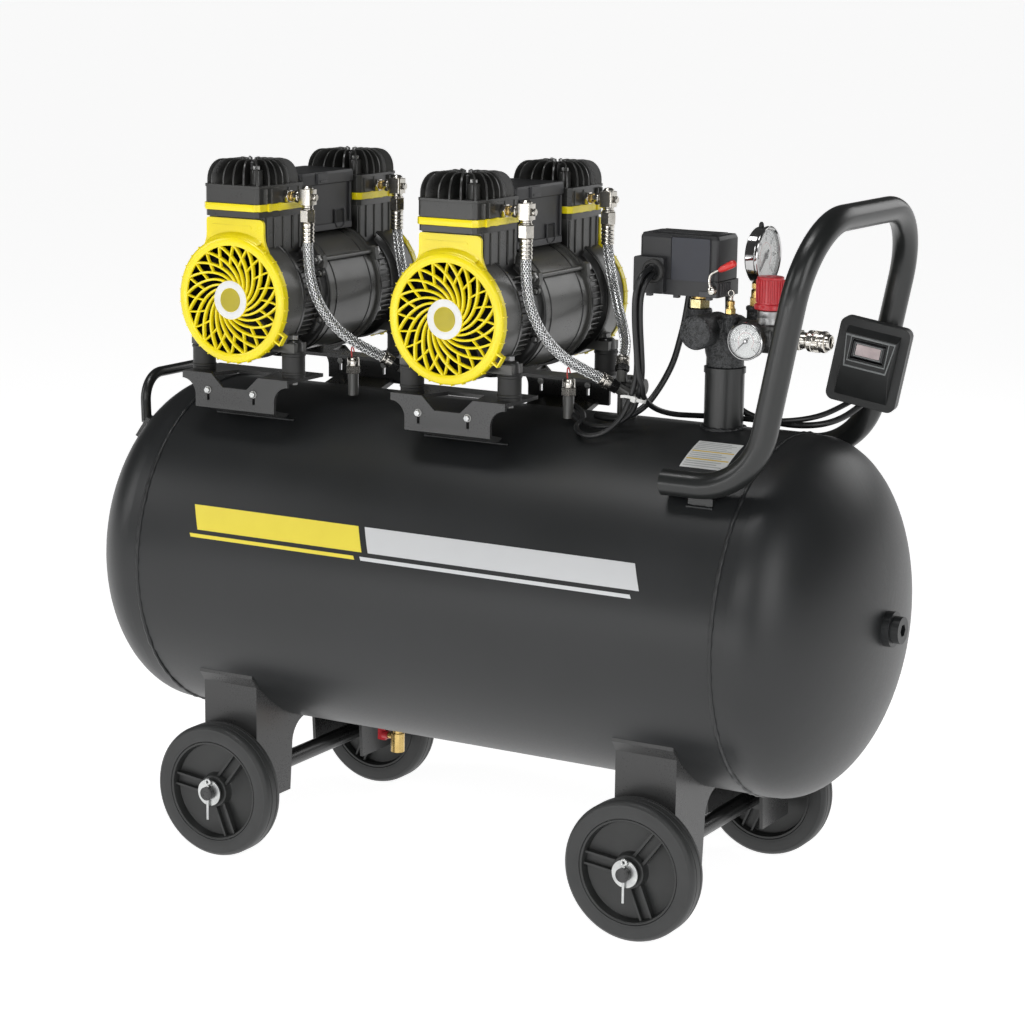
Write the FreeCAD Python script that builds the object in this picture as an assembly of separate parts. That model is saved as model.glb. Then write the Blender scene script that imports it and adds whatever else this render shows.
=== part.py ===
import FreeCAD, Part
import math
import os
from FreeCAD import Vector

# Four-cylinder oil-free air compressor on a wheeled 100 litre receiver.
# Millimetres. X runs along the tank with +X at the push handle, +Z is up.
# The origin is on the ground under the middle of the tank.

os.makedirs("parts", exist_ok=True)

# ---- driving dimensions ----
TANK_R = 195.0
TANK_Z = 329.2
TANK_WALL = 3.0
SHELL_HALF = 360.0
HEAD_STRAIGHT = 15.0
HEAD_DEPTH = 98.0
BUNG_R = 19.0
PLUG_END = 490.0

AXLE_X = 266.5
WHEEL_R = 76.7
WHEEL_IN = 155.0
WHEEL_OUT = 184.0
AXLE_R = 7.75
AXLE_END = 195.5
LEG_HALF = 36.0
LEG_Y = 146.0
LEG_T = 4.0

PUMP_X = {"left": -264.0, "right": 14.0}
SHAFT_Z = 635.7
DRUM_R = 70.0
DRUM_HALF = 50.0
CASE_R = 62.0
SHROUD_R = 69.5
HEAD_HALF = 36.0
HEAD_FRONT = 143.0
HEAD_BACK = 57.0
HEAD_Z = 728.0
SHOULDER_Z = 763.0
DOME_Z = 790.0
FOOT_X = 61.0
FOOT_Y = 110.0
FOOT_Z = 552.0
BRACKET_Y = 138.0
GRILLE_Y = 144.6
GRILLE_R = 70.75
ELBOW_X = 69.0
ELBOW_Y = 93.0

PIPE_X = 276.0
PIPE_R = 21.25
PIPE_TOP = 590.0
REG_X = 334.0
REG_Y = -18.0
REG_Z = 628.0
DIAL_X = 316.0
DIAL_Y = 16.0
DIAL_Z = 709.0
SMALL_DIAL_X = 322.0
SMALL_DIAL_Y = -52.0
SMALL_DIAL_Z = 626.5

VALVE_Z = 650.0
TUBE_R = 13.7
GRIP_X = 430.5
GRIP_Z = 761.5
GRIP_HALF = 142.0
LEAN_START_X = 377.1
HANDLE_FOOT_Z = 488.0
FOOT_END_X = 277.0

BOX_LEG = Vector(388.0, 142.0, 588.4)
BOX_LEAN = 10.5
BOX_YAW = 10.0

DRAIN_X = -132.0
HOSE_D = 12.0
STRAND_D = 6.0
CABLE_D = 7.0

RUN = 0.05          # radial running clearance of a turning fit

# routes of the two leads that end in the control box, switch end first
BOX_LEAD = [(210.7, -50, 695.0), (211, -70, 693), (206, -77, 674), (204.5, -75, 645),
            (204, -68, 612), (205, -64, 581), (208.5, -58.5, 569), (205.3, -51.5, 556),
            (208, -30, 542), (218, -8, 534), (232, 14, 531), (252, 29, 530), (278, 33, 530), (306, 36, 529),
            (330, 47, 529.5), (350, 66, 532), (364, 88, 537.5), (373.0, 117.6, 545.8)]
BOX_CABLE = [(262, 14, 675.5), (262, 31, 672), (262.5, 33, 652), (262, 33.5, 630), (261, 33, 606),
             (261, 33.5, 582), (263, 36, 560), (271, 41, 541), (287, 46, 531), (305, 53, 527),
             (323, 57, 524), (341, 62, 523.5), (357, 73, 524.5), (369, 88, 528), (379, 103, 535),
             (386.8, 118.8, 544.6)]
X = Vector(1, 0, 0)
Y = Vector(0, 1, 0)
Z = Vector(0, 0, 1)


# ---- helpers ----
def save(node, *solids):
    """Write one node: a solid, or a group of separate solids."""
    shape = solids[0] if len(solids) == 1 else Part.makeCompound(list(solids))
    shape.exportStep("parts/" + node + ".step")


def box(x0, x1, y0, y1, z0, z1):
    return Part.makeBox(x1 - x0, y1 - y0, z1 - z0, Vector(x0, y0, z0))


def rod(base, axis, r, length):
    return Part.makeCylinder(r, length, base, axis)


def ring(base, axis, r_out, r_in, length):
    return rod(base, axis, r_out, length).cut(rod(base, axis, r_in, length))


def prism(points, axis, length):
    """Extrude a closed outline along an axis."""
    wire = Part.makePolygon(points + [points[0]])
    return Part.Face(wire).extrude(axis * length)


def hexagon(base, axis, across, length):
    """Hexagonal bar; across is the size over its flats."""
    side = X if abs(axis.dot(X)) < 0.9 else Y
    other = axis.cross(side)
    corner = across / math.sqrt(3)
    pts = []
    for k in range(6):
        a = math.radians(60 * k)
        pts.append(base + side * (corner * math.cos(a)) + other * (corner * math.sin(a)))
    return prism(pts, axis, length)


def fuse(first, *others):
    return first.fuse(list(others)).removeSplitter()


def mirror_y(shape):
    return shape.mirror(Vector(0, 0, 0), Y)


def moved(shape, x, y=0.0, z=0.0):
    copy = shape.copy()
    copy.translate(Vector(x, y, z))
    return copy


def bent_path(points, radii):
    """Straight runs joined by tangent arcs."""
    edges = []
    start = points[0]
    for i in range(1, len(points) - 1):
        back = (points[i - 1] - points[i]).normalize()
        ahead = (points[i + 1] - points[i]).normalize()
        turn = math.pi - back.getAngle(ahead)
        trim = radii[i - 1] * math.tan(turn / 2)
        arc_in = points[i] + back * trim
        arc_out = points[i] + ahead * trim
        inward = (back + ahead).normalize()
        reach = radii[i - 1] / math.cos(turn / 2) - radii[i - 1]
        edges.append(Part.LineSegment(start, arc_in).toShape())
        edges.append(Part.Arc(arc_in, points[i] + inward * reach, arc_out).toShape())
        start = arc_out
    edges.append(Part.LineSegment(start, points[-1]).toShape())
    return Part.Wire(edges)


def sweep(points, radii, r):
    path = bent_path(points, radii)
    circle = Part.Wire(Part.makeCircle(r, points[0], points[1] - points[0]))
    return path.makePipeShell([circle], True, True)


def cord(node, points, diameter, fittings=()):
    """A free cord's tube, trimmed at its fittings; each arc is as large as its runs allow."""
    radii = []
    for i in range(1, len(points) - 1):
        back = points[i - 1] - points[i]
        ahead = points[i + 1] - points[i]
        turn = math.pi - back.getAngle(ahead)
        shorter = min(back.Length, ahead.Length)
        radii.append(0.45 * shorter / math.tan(turn / 2))
    solid = sweep(points, radii, diameter / 2)
    length = bent_path(points, radii).Length
    expected = math.pi * diameter * diameter / 4 * length
    print(node, "length", round(length), "radii", [round(r) for r in radii],
          "volume ratio", round(solid.Volume / expected, 3))
    for fitting in fittings:
        solid = solid.cut(fitting)
    save(node, solid)


def tank_height(y):
    """Height of the top of the tank's shell at a distance y from its middle."""
    return TANK_Z + math.sqrt(TANK_R ** 2 - y ** 2)


# ---- tank ----
def ellipse_solid(grow):
    """Half ellipsoid head with its straight flange, pointing along +X."""
    long_r = TANK_R + grow
    depth = HEAD_DEPTH + grow
    seam = Vector(SHELL_HALF, 0, TANK_Z)
    knuckle = Vector(SHELL_HALF + HEAD_STRAIGHT, 0, TANK_Z)
    curve = Part.Ellipse(knuckle + Z * long_r, knuckle + X * depth, knuckle)
    arc = curve.toShape()
    disc = Part.Face(Part.Wire(arc))
    window = box(SHELL_HALF + HEAD_STRAIGHT, SHELL_HALF + HEAD_STRAIGHT + depth + 1,
                 -1, 1, TANK_Z, TANK_Z + long_r + 1)
    quarter = disc.common(window).Faces[0]
    dome = quarter.revolve(Vector(0, 0, TANK_Z), X, 360)
    flange = rod(seam, X, long_r, HEAD_STRAIGHT)
    return fuse(dome, flange)


def make_tank():
    left_end = Vector(-SHELL_HALF, 0, TANK_Z)
    save("tank_shell", ring(left_end, X, TANK_R, TANK_R - TANK_WALL, 2 * SHELL_HALF))
    axis_point = Vector(SHELL_HALF, 0, TANK_Z)
    dome = ellipse_solid(0.0).cut(ellipse_solid(-TANK_WALL))
    dome = dome.cut(rod(axis_point, X, BUNG_R, 200))
    turn = (Vector(0, 0, 0), Z, 180)
    other = dome.copy()
    other.rotate(*turn)

    boss_x = 466.0
    boss_end = 481.0
    thread_r = 12.0
    boss = ring(Vector(boss_x, 0, TANK_Z), X, BUNG_R, thread_r, boss_end - boss_x)
    boss_2 = boss.copy()
    boss_2.rotate(*turn)
    save("tank_heads", dome, other, boss, boss_2)
    plug = rod(Vector(boss_x + 2, 0, TANK_Z), X, thread_r - 0.1, boss_end - boss_x - 2)
    plug = fuse(plug, rod(Vector(boss_end, 0, TANK_Z), X, 14.5, PLUG_END - boss_end))
    plug = plug.cut(hexagon(Vector(PLUG_END - 7, 0, TANK_Z), X, 12.0, 8.0))
    plug_2 = plug.copy()
    plug_2.rotate(*turn)
    save("end_plugs", plug, plug_2)


# ---- legs, axles and wheels ----
def leg(x0):
    """Front leg of one axle: a channel whose flanges follow the tank's belly."""
    bottom = 58.0
    top = TANK_Z - math.sqrt(TANK_R ** 2 - LEG_Y ** 2)
    belly_y = -49.0
    belly = TANK_Z - math.sqrt(TANK_R ** 2 - belly_y ** 2)
    mid_y = -100.0
    mid = TANK_Z - math.sqrt(TANK_R ** 2 - mid_y ** 2)
    outer = x0 - LEG_HALF
    a = Vector(outer, -LEG_Y, bottom)
    b = Vector(outer, -LEG_Y, top)
    c = Vector(outer, belly_y, belly)
    d = Vector(outer, -74.0, 110.0)
    e = Vector(outer, -78.0, bottom)
    edges = [Part.LineSegment(a, b).toShape(),
             Part.Arc(b, Vector(outer, mid_y, mid), c).toShape(),
             Part.Arc(c, Vector(outer, -66.5, 131.0), d).toShape(),
             Part.LineSegment(d, e).toShape(),
             Part.LineSegment(e, a).toShape()]
    block = Part.Face(Part.Wire(edges)).extrude(X * (2 * LEG_HALF))
    hollow = box(x0 - LEG_HALF + LEG_T, x0 + LEG_HALF - LEG_T, -LEG_Y + LEG_T, 0, 0, 400)
    channel = block.cut(hollow)
    lip_y = LEG_Y + 9.0
    lip_top = TANK_Z - math.sqrt(TANK_R ** 2 - lip_y ** 2)
    inner_y = LEG_Y - LEG_T
    lip = prism([Vector(x0 - LEG_HALF, -inner_y, top - LEG_T - 6),
                 Vector(x0 - LEG_HALF, -LEG_Y, top - 5),
                 Vector(x0 - LEG_HALF, -lip_y, lip_top - LEG_T),
                 Vector(x0 - LEG_HALF, -lip_y, lip_top + 1),
                 Vector(x0 - LEG_HALF, -inner_y, top + 1)], X, 2 * LEG_HALF)
    tank = rod(Vector(-SHELL_HALF, 0, TANK_Z), X, TANK_R, 2 * SHELL_HALF)
    channel = fuse(channel, lip).cut(tank)
    hole = rod(Vector(x0, -LEG_Y - 1, WHEEL_R), Y, AXLE_R + 0.1, LEG_T + 2)
    return channel.cut(hole)


def make_undercarriage():
    legs = []
    axles = []
    retainers = []
    for side in (-1, 1):
        x0 = side * AXLE_X
        front = leg(x0)
        legs += [front, mirror_y(front)]
        inner = LEG_Y - LEG_T - 0.2
        axle = rod(Vector(x0, -inner, WHEEL_R), Y, 10.2, 2 * inner)
        axle = fuse(axle, rod(Vector(x0, -AXLE_END, WHEEL_R), Y, AXLE_R, 2 * AXLE_END))
        pin_y = 191.8
        for end in (-1, 1):
            hole = rod(Vector(x0, end * pin_y, WHEEL_R - 12), Z, 1.75, 24)
            axle = axle.cut(hole)
            washer_y = 187.4 if end > 0 else -189.4
            washer = ring(Vector(x0, washer_y, WHEEL_R), Y, 15.2, AXLE_R + 0.1, 2.0)
            split_pin = rod(Vector(x0, end * pin_y, WHEEL_R - 31), Z, 1.6, 42)
            eye = Part.makeTorus(2.9, 1.6, Vector(x0, end * pin_y, WHEEL_R + 13.4), Y)
            retainers += [washer, fuse(split_pin, eye)]
        axles.append(axle)
    save("legs", *legs)
    save("axles", *axles)
    save("axle_retainers", *retainers)


def wheel_parts(x0, end):
    """Tyre and rim of one wheel; end is -1 at the front, +1 at the rear."""
    width = WHEEL_OUT - WHEEL_IN
    rim_r = 60.0
    y_face = WHEEL_OUT
    centre = Vector(x0, 0, WHEEL_R)
    crown = 5.0
    profile = [(rim_r, WHEEL_IN), (WHEEL_R - crown, WHEEL_IN), (WHEEL_R, WHEEL_IN + crown + 1),
               (WHEEL_R, y_face - crown - 1), (WHEEL_R - crown, y_face), (rim_r, y_face)]
    tyre = Part.Face(Part.makePolygon([centre + Z * r + Y * y for r, y in profile + profile[:1]]))
    tyre = tyre.revolve(centre, Y, 360)

    web_y = WHEEL_IN + 11
    hub = rod(centre + Y * 148.0, Y, 14.5, 39.0)
    band = ring(centre + Y * (WHEEL_IN + 1), Y, rim_r, 56.5, width - 2)
    web = rod(centre + Y * web_y, Y, 58.0, 4.0)
    pieces = [band, web]
    for spoke in range(3):
        for offset in (-6.5, 6.5):
            rib = box(x0 + offset - 1.6, x0 + offset + 1.6, WHEEL_IN + 5, y_face - 6,
                      WHEEL_R + 10, WHEEL_R + 57)
            rib.rotate(centre, Y, 17 + 120 * spoke)
            pieces.append(rib)
    rim = fuse(hub, *pieces).cut(rod(centre + Y * 140, Y, AXLE_R + RUN, 60))
    if end < 0:
        return mirror_y(tyre), mirror_y(rim)
    return tyre, rim


def make_wheels():
    for side, x0 in (("left", -AXLE_X), ("right", AXLE_X)):
        for row, end in (("front", -1), ("rear", 1)):
            tyre, rim = wheel_parts(x0, end)
            save("tyre_" + row + "_" + side, tyre)
            save("rim_" + row + "_" + side, rim)


# ---- pump brackets and feet ----
def bracket():
    """Bent-plate bracket under the front of a pump, about x = 0."""
    ear = 71.5
    lower = 53.5
    t = 4.0
    top = FOOT_Z - 2.0
    low = 511.0
    back = -66.0
    weld_y = -96.0
    weld_z = tank_height(weld_y) + 0.3
    outline = [Vector(-ear, back, top), Vector(-ear, -BRACKET_Y, top), Vector(-ear, -BRACKET_Y, low),
               Vector(-ear, weld_y, weld_z), Vector(-ear, weld_y + 8, tank_height(weld_y + 8) + 0.3),
               Vector(-ear, -BRACKET_Y + t, low + t), Vector(-ear, -BRACKET_Y + t, top - t),
               Vector(-ear, back, top - t)]
    plate = prism(outline, X, 2 * ear)
    waist = 524.0
    scoop_r = ear - lower
    web_half = 40.0
    for side in (-1, 1):
        side_x = side * ear
        x_low, x_high = sorted((side * lower, side_x + side))
        cut = box(x_low, x_high, -150, back + 1, 480, waist)
        scoop = rod(Vector(side_x, -150, waist), Y, scoop_r, 30)
        x_low, x_high = sorted((side * web_half, side_x))
        web_cut = box(x_low, x_high, -BRACKET_Y + t, back, 480, waist)
        plate = plate.cut(cut).cut(scoop).cut(web_cut)
    notch = prism([Vector(-33, -139, top + 1), Vector(33, -139, top + 1),
                   Vector(16, -139, top - 15), Vector(-16, -139, top - 15)], Y, 6.0)
    mouth = prism([Vector(-33, -134, top + 1), Vector(-23, -97, top + 1),
                   Vector(23, -97, top + 1), Vector(33, -134, top + 1)], Z, -8.0)
    plate = plate.cut(notch).cut(mouth)
    for side in (-1, 1):
        key_x = side * 31.0 - 5.0
        eye = rod(Vector(key_x, -BRACKET_Y - 1, 531), Y, 4.2, t + 2)
        slot = box(key_x - 1.8, key_x + 1.8, -BRACKET_Y - 1, -BRACKET_Y + t + 1, 519, 531)
        plate = plate.cut(eye).cut(slot)
        stud_hole = rod(Vector(side * FOOT_X, -FOOT_Y, top - 10), Z, 4.2, 12)
        plate = plate.cut(stud_hole)
    return plate


def make_supports():
    front = bracket()
    brackets = []
    feet = []
    foot = fuse(rod(Vector(0, 0, FOOT_Z - 2), Z, 13.0, 29.0), rod(Vector(0, 0, FOOT_Z - 9), Z, 4.0, 8.0),
                rod(Vector(0, 0, FOOT_Z + 27), Z, 5.0, 12.0))
    for x0 in PUMP_X.values():
        plate = moved(front, x0)
        brackets += [plate, mirror_y(plate)]
        for side in (-1, 1):
            for end in (-1, 1):
                feet.append(moved(foot, x0 + side * FOOT_X, end * FOOT_Y))
    save("pump_brackets", *brackets)
    save("rubber_feet", *feet)


# ---- pumps ----
def head_outline(grow, z):
    """Plan outline of a front cylinder head, about x = 0."""
    front = -HEAD_FRONT - grow
    back = -HEAD_BACK + grow
    near = HEAD_HALF + grow
    far = HEAD_HALF + 4 + grow
    c = 4.0
    half = [(near - c, front), (near, front + c), (far, -100), (far, back + c), (far - c, back)]
    pts = [Vector(x, y, z) for x, y in half]
    pts += [Vector(-x, y, z) for x, y in reversed(half)]
    return pts


def crankcase():
    """Front crankcase with its cylinder block and fan shroud, about x = 0."""
    flange = rod(Vector(0, -DRUM_HALF - 5, SHAFT_Z), Y, DRUM_R + 3, 5)
    drum = rod(Vector(0, -102, SHAFT_Z), Y, CASE_R, 50)
    shroud = rod(Vector(0, -134, SHAFT_Z), Y, SHROUD_R, 36)
    block = box(-HEAD_HALF - 1, HEAD_HALF + 1, -131, -HEAD_BACK, SHAFT_Z, HEAD_Z)
    lug = box(-FOOT_X - 9, FOOT_X + 9, -122, -98, FOOT_Z + 27, FOOT_Z + 37)
    body = fuse(flange, drum, shroud, block, lug)
    fan_room = rod(Vector(0, -135, SHAFT_Z), Y, 66.0, 33)
    crank_room = rod(Vector(0, -97, SHAFT_Z), Y, 50.0, 37)
    bore = rod(Vector(0, -80, SHAFT_Z), Z, 25.0, 100)
    shaft_hole = rod(Vector(0, -140, SHAFT_Z), Y, 8.0 + RUN, 120)
    body = body.cut(fan_room).cut(crank_room).cut(bore).cut(shaft_hole)
    for side in (-1, 1):
        stud = rod(Vector(side * FOOT_X, -FOOT_Y, FOOT_Z + 20), Z, 5.1, 20)
        body = body.cut(stud)
    return body


def cylinder_head():
    """Front cylinder head with its radiating cooling fins, about x = 0."""
    block = prism(head_outline(0, HEAD_Z), Z, SHOULDER_Z - HEAD_Z)
    envelope = box(-HEAD_HALF - 4, HEAD_HALF + 4, -HEAD_FRONT, -HEAD_BACK, SHOULDER_Z - 20, DOME_Z)
    top_edges = [e for e in envelope.Edges if min(v.Z for v in e.Vertexes) > DOME_Z - 0.1]
    envelope = envelope.makeFillet(23.0, top_edges)
    envelope = envelope.common(prism(head_outline(0, SHOULDER_Z - 20), Z, 60.0))
    centre = Vector(0, -100, SHOULDER_Z)
    fins = [rod(centre - Z * 1, Z, 17.0, DOME_Z - SHOULDER_Z - 3)]
    for k in range(18):
        fin = box(0, 70, -101.2, -98.8, SHOULDER_Z - 1, DOME_Z)
        fin.rotate(centre, Z, 20 * k)
        fins.append(fin)
    fin_body = fuse(*fins).common(envelope)
    posts = []
    for px in (-23, 23):
        for py in (-126, -74):
            posts.append(rod(Vector(px, py, SHOULDER_Z - 1), Z, 7.0, 17.0))
    body = fuse(block, fin_body, *posts)
    outlet = rod(Vector(HEAD_HALF - 6, -ELBOW_Y, 750), X, 4.0, 12)
    return body.cut(outlet)


def band():
    return prism(head_outline(1.6, 732.0), Z, 8.0).cut(prism(head_outline(0, 731.0), Z, 10.0))


def grille():
    """Front fan cover with its spiral ribs and neck plate, about x = 0."""
    front = -GRILLE_Y
    centre = Vector(0, front, SHAFT_Z)
    rim = ring(centre, Y, GRILLE_R, 63.0, 10.4)
    hub = rod(centre, Y, 21.6, 5.0)
    rib_r = 46.0
    pieces = [hub]
    annulus = ring(centre, Y, 64.0, 19.0, 4.0)
    quadrant = box(0, 80, front, front + 4, SHAFT_Z - 10, SHAFT_Z + 80)
    for k in range(20):
        angle = math.radians(18 * k)
        arc = ring(Vector(0, front, SHAFT_Z), Y, rib_r + 1.4, rib_r - 1.4, 4.0)
        arc = moved(arc, 28.0, 0, -22.0).common(annulus).common(quadrant)
        arc.rotate(centre, Y, math.degrees(angle))
        pieces.append(arc)
    neck = box(-38.5, 38.5, -135.0, -131.6, 688.0, 726.0)
    neck = neck.cut(rod(Vector(0, -140, SHAFT_Z), Y, 67.0, 20))
    web = box(-38.5, 38.5, -142.0, -131.6, 690.0, 704.0)
    web = web.cut(rod(Vector(0, -150, SHAFT_Z), Y, 66.0, 30))
    neck = neck.fuse(web).cut(rod(Vector(0, -134.2, SHAFT_Z), Y, SHROUD_R, 10))
    return fuse(rim, neck, *pieces)


def fan():
    """Cooling fan on the front end of the shaft, about x = 0."""
    hub = ring(Vector(0, -127, SHAFT_Z), Y, 15.0, 8.0, 20)
    blades = []
    for k in range(9):
        blade = box(-1.0, 1.0, -9, 9, 13, 61)
        blade.rotate(Vector(0, 0, 0), Z, 38)
        blade = moved(blade, 0, -117, SHAFT_Z)
        blade.rotate(Vector(0, 0, SHAFT_Z), Y, 40 * k)
        blades.append(blade)
    return fuse(hub, *blades)


def make_pumps():
    groups = {"motor_housings": [], "crankcases": [], "cylinder_heads": [], "head_bands": [],
              "fan_grilles": [], "pistons": [], "terminal_boxes": [], "hose_fittings": []}
    case = crankcase()
    head = cylinder_head()
    strap = band()
    fan_cover = grille()
    blades = fan()
    piston = fuse(rod(Vector(0, -80, 703), Z, 24.9, 12.0), rod(Vector(0, -80, 692), Z, 10.0, 12.0))
    stub = rod(Vector(HEAD_HALF - 4, -ELBOW_Y, 750), X, 3.9, 30)
    collar = hexagon(Vector(HEAD_HALF + 4.2, -ELBOW_Y, 750), X, 13.0, 6.0)
    elbow = box(ELBOW_X - 9, ELBOW_X + 8, -ELBOW_Y - 8, -ELBOW_Y + 8, 741.5, 759)
    nut = hexagon(Vector(ELBOW_X, -ELBOW_Y, 722), Z, 16.0, 19.5)
    crimp = rod(Vector(ELBOW_X, -ELBOW_Y, 700), Z, 7.4, 22)
    fitting = fuse(elbow, stub, collar, nut, crimp)
    for side, x0 in PUMP_X.items():
        for part, name in ((case, "crankcases"), (head, "cylinder_heads"), (strap, "head_bands"),
                           (fan_cover, "fan_grilles"), (piston, "pistons"), (fitting, "hose_fittings")):
            front = moved(part, x0)
            groups[name] += [front, mirror_y(front)]
        shell = ring(Vector(x0, -DRUM_HALF, SHAFT_Z), Y, DRUM_R, DRUM_R - 4, 2 * DRUM_HALF)
        stator = ring(Vector(x0, -30, SHAFT_Z), Y, DRUM_R - 4, 48, 60)
        groups["motor_housings"] += [shell, stator]
        drum = rod(Vector(x0, -DRUM_HALF, SHAFT_Z), Y, DRUM_R, 2 * DRUM_HALF)
        saddle = box(x0 - 34, x0 + 34, 0.6 - DRUM_HALF, DRUM_HALF - 0.6, 695, 710).cut(drum)
        cover = box(x0 - 34, x0 + 34, -55, 55, SHAFT_Z + DRUM_R + 3.6, 771)
        groups["terminal_boxes"].append(fuse(saddle, cover))

        shaft = rod(Vector(x0, -129, SHAFT_Z), Y, 8.0, 258)
        rotor = rod(Vector(x0, -30, SHAFT_Z), Y, 46.0, 60)
        cams = [rod(Vector(x0, y, SHAFT_Z + 5), Y, 16.0, 12) for y in (-86, 74)]
        save("shaft_" + side, fuse(shaft, rotor, *cams))
        front_fan = moved(blades, x0)
        save("fans_" + side, front_fan, mirror_y(front_fan))
    make_collectors(groups)
    for name, solids in groups.items():
        save(name, *solids)
    return groups["hose_fittings"]


# ---- air collectors and hoses ----
FRONT_PORT = Vector(131.0, -30.0, 568.5)
FRONT_PORT_DIR = Vector(8.2, 7.0, -6.4)
REAR_PORT = Vector(137.0, 5.0, 586.0)
REAR_PORT_DIR = Vector(2.0, -5.0, -9.0)


def make_collectors(groups):
    """Check-valve blocks on the tank, with the lower hose fittings."""
    blocks = []
    for x0 in PUMP_X.values():
        shift = Vector(x0, 0, 0)
        front = FRONT_PORT + shift
        front_dir = Vector(FRONT_PORT_DIR).normalize()
        rear = REAR_PORT + shift
        rear_dir = Vector(REAR_PORT_DIR).normalize()
        nut = hexagon(front + front_dir * 9, front_dir, 14.0, 10.0)
        crimp = rod(front, front_dir, 7.4, 9.0)
        front_fitting = fuse(crimp, nut)
        nut = hexagon(rear + rear_dir * 7, rear_dir, 14.0, 7.0)
        crimp = rod(rear, rear_dir, 7.4, 7.0)
        rear_fitting = fuse(crimp, nut)
        groups["hose_fittings"] += [front_fitting, rear_fitting]

        neck = rod(Vector(x0 + 146, 0, 505), Z, 11.0, 57)
        barrel = rod(Vector(x0 + 139, 0, 559), X, 9.0, 28)
        cap = rod(Vector(x0 + 146, 0, 562), Z, 7.0, 8)
        port_1 = rod(front + front_dir * 19, front_dir, 6.0, 20)
        body = fuse(neck, barrel, cap, port_1)
        port_2 = rod(rear + rear_dir * 14, rear_dir, 6.0, 14)
        body = body.fuse(port_2)
        tank = rod(Vector(-SHELL_HALF, 0, TANK_Z), X, TANK_R, 2 * SHELL_HALF)
        blocks.append(body.cut(tank).cut(front_fitting).cut(rear_fitting))
    save("air_collectors", *blocks)


def make_hoses(fittings):
    front = [(ELBOW_X, -93, 700), (69.3, -93, 677), (72.5, -90, 650), (80, -82, 625),
             (92, -69, 602), (108, -53, 584.5)]
    rear = [(ELBOW_X, 93, 700), (73, 91.5, 676), (83, 85, 650), (97, 71, 628), (114, 50, 610),
            (130, 26, 598)]
    for side, x0 in PUMP_X.items():
        points = [Vector(x, y, z) for x, y, z in front] + [FRONT_PORT]
        cord("hose_front_" + side, [p + Vector(x0, 0, 0) for p in points], HOSE_D, fittings)
        points = [Vector(x, y, z) for x, y, z in rear] + [REAR_PORT]
        cord("hose_rear_" + side, [p + Vector(x0, 0, 0) for p in points], HOSE_D, fittings)


# ---- control group ----
def make_controls():
    tank = rod(Vector(-SHELL_HALF, 0, TANK_Z), X, TANK_R, 2 * SHELL_HALF)
    pipe = ring(Vector(PIPE_X, 0, 505), Z, PIPE_R, PIPE_R - 3, PIPE_TOP - 505)
    collar = ring(Vector(PIPE_X, 0, PIPE_TOP - 6), Z, PIPE_R + 1.2, PIPE_R - 3, 6)
    save("standpipe", fuse(pipe, collar).cut(tank))

    nipple = Vector(250, -12, 0)
    neck = rod(Vector(PIPE_X, 0, PIPE_TOP), Z, 20.0, 18)
    core = rod(Vector(PIPE_X, 0, 604), Z, 21.0, 40)
    boss = rod(Vector(262, -48, 630), Y, 17.0, 60)
    switch_port = rod(nipple + Z * 624, Z, 12.5, 28)
    bridge = box(238, 276, -22, 8, 622, 642)
    arm = rod(Vector(PIPE_X, -6, REG_Z), X, 15.0, 26)
    gauge_port = rod(Vector(306, 10, 622), Z, 10.0, 34)
    gauge_web = box(280, 306, 0, 20, 620, 640)
    valve_port = rod(Vector(292, -24, 632), Z, 7.5, VALVE_Z - 632)
    manifold = fuse(neck, core, boss, switch_port, bridge, arm, gauge_port, gauge_web, valve_port)
    regulator_room = rod(Vector(301.9, REG_Y, REG_Z), X, 17.4, 60)
    save("manifold", manifold.cut(regulator_room))

    nut = hexagon(nipple + Z * 652, Z, 20.0, 11)
    tip = rod(nipple + Z * 663, Z, 8.0, 4)
    stem = fuse(hexagon(Vector(306, 10, 656), Z, 13.0, 10), rod(Vector(306, 10, 666), Z, 6.0, 8))
    outlet = fuse(hexagon(Vector(352, REG_Y, REG_Z), X, 17.0, 10),
                  rod(Vector(357, REG_Y, REG_Z + 6), Z, 4.5, 16))
    save("brass_fittings", fuse(nut, tip), stem, outlet)

    base = box(189, 283, -38, 14, 667, 684)
    gland_block = box(187, 222, -45, -16, 668, 706)
    gland = ring(Vector(211, -50, 691.5), Y, 12.5, 7.2, 5)
    entry = rod(Vector(211, -50, 691.5), Y, 7.2, 20)
    save("switch_base", fuse(base, gland_block, gland).cut(entry))
    lid = box(190, 282, -37, 13, 684, 731)
    pad = box(187.5, 222.5, -46, -15.5, 683, 706.5)
    side_edges = [e for e in lid.Edges if abs(e.tangentAt(e.FirstParameter).z) > 0.9]
    save("switch_cover", lid.makeFillet(4.0, side_edges).cut(pad))
    hub = rod(Vector(278, -46, 675), Y, 4.5, 7.4)
    wire_1 = sweep([Vector(278, -43.5, 675), Vector(275, -43.5, 684), Vector(282, -43.5, 694),
                    Vector(289, -43.5, 698)], [4, 5], 1.5)
    grip = rod(Vector(286, -43.5, 696.5), Vector(2, 0, 1), 4.0, 21)
    save("switch_lever", fuse(hub, wire_1, grip))

    make_gauges()
    make_regulator()


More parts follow.
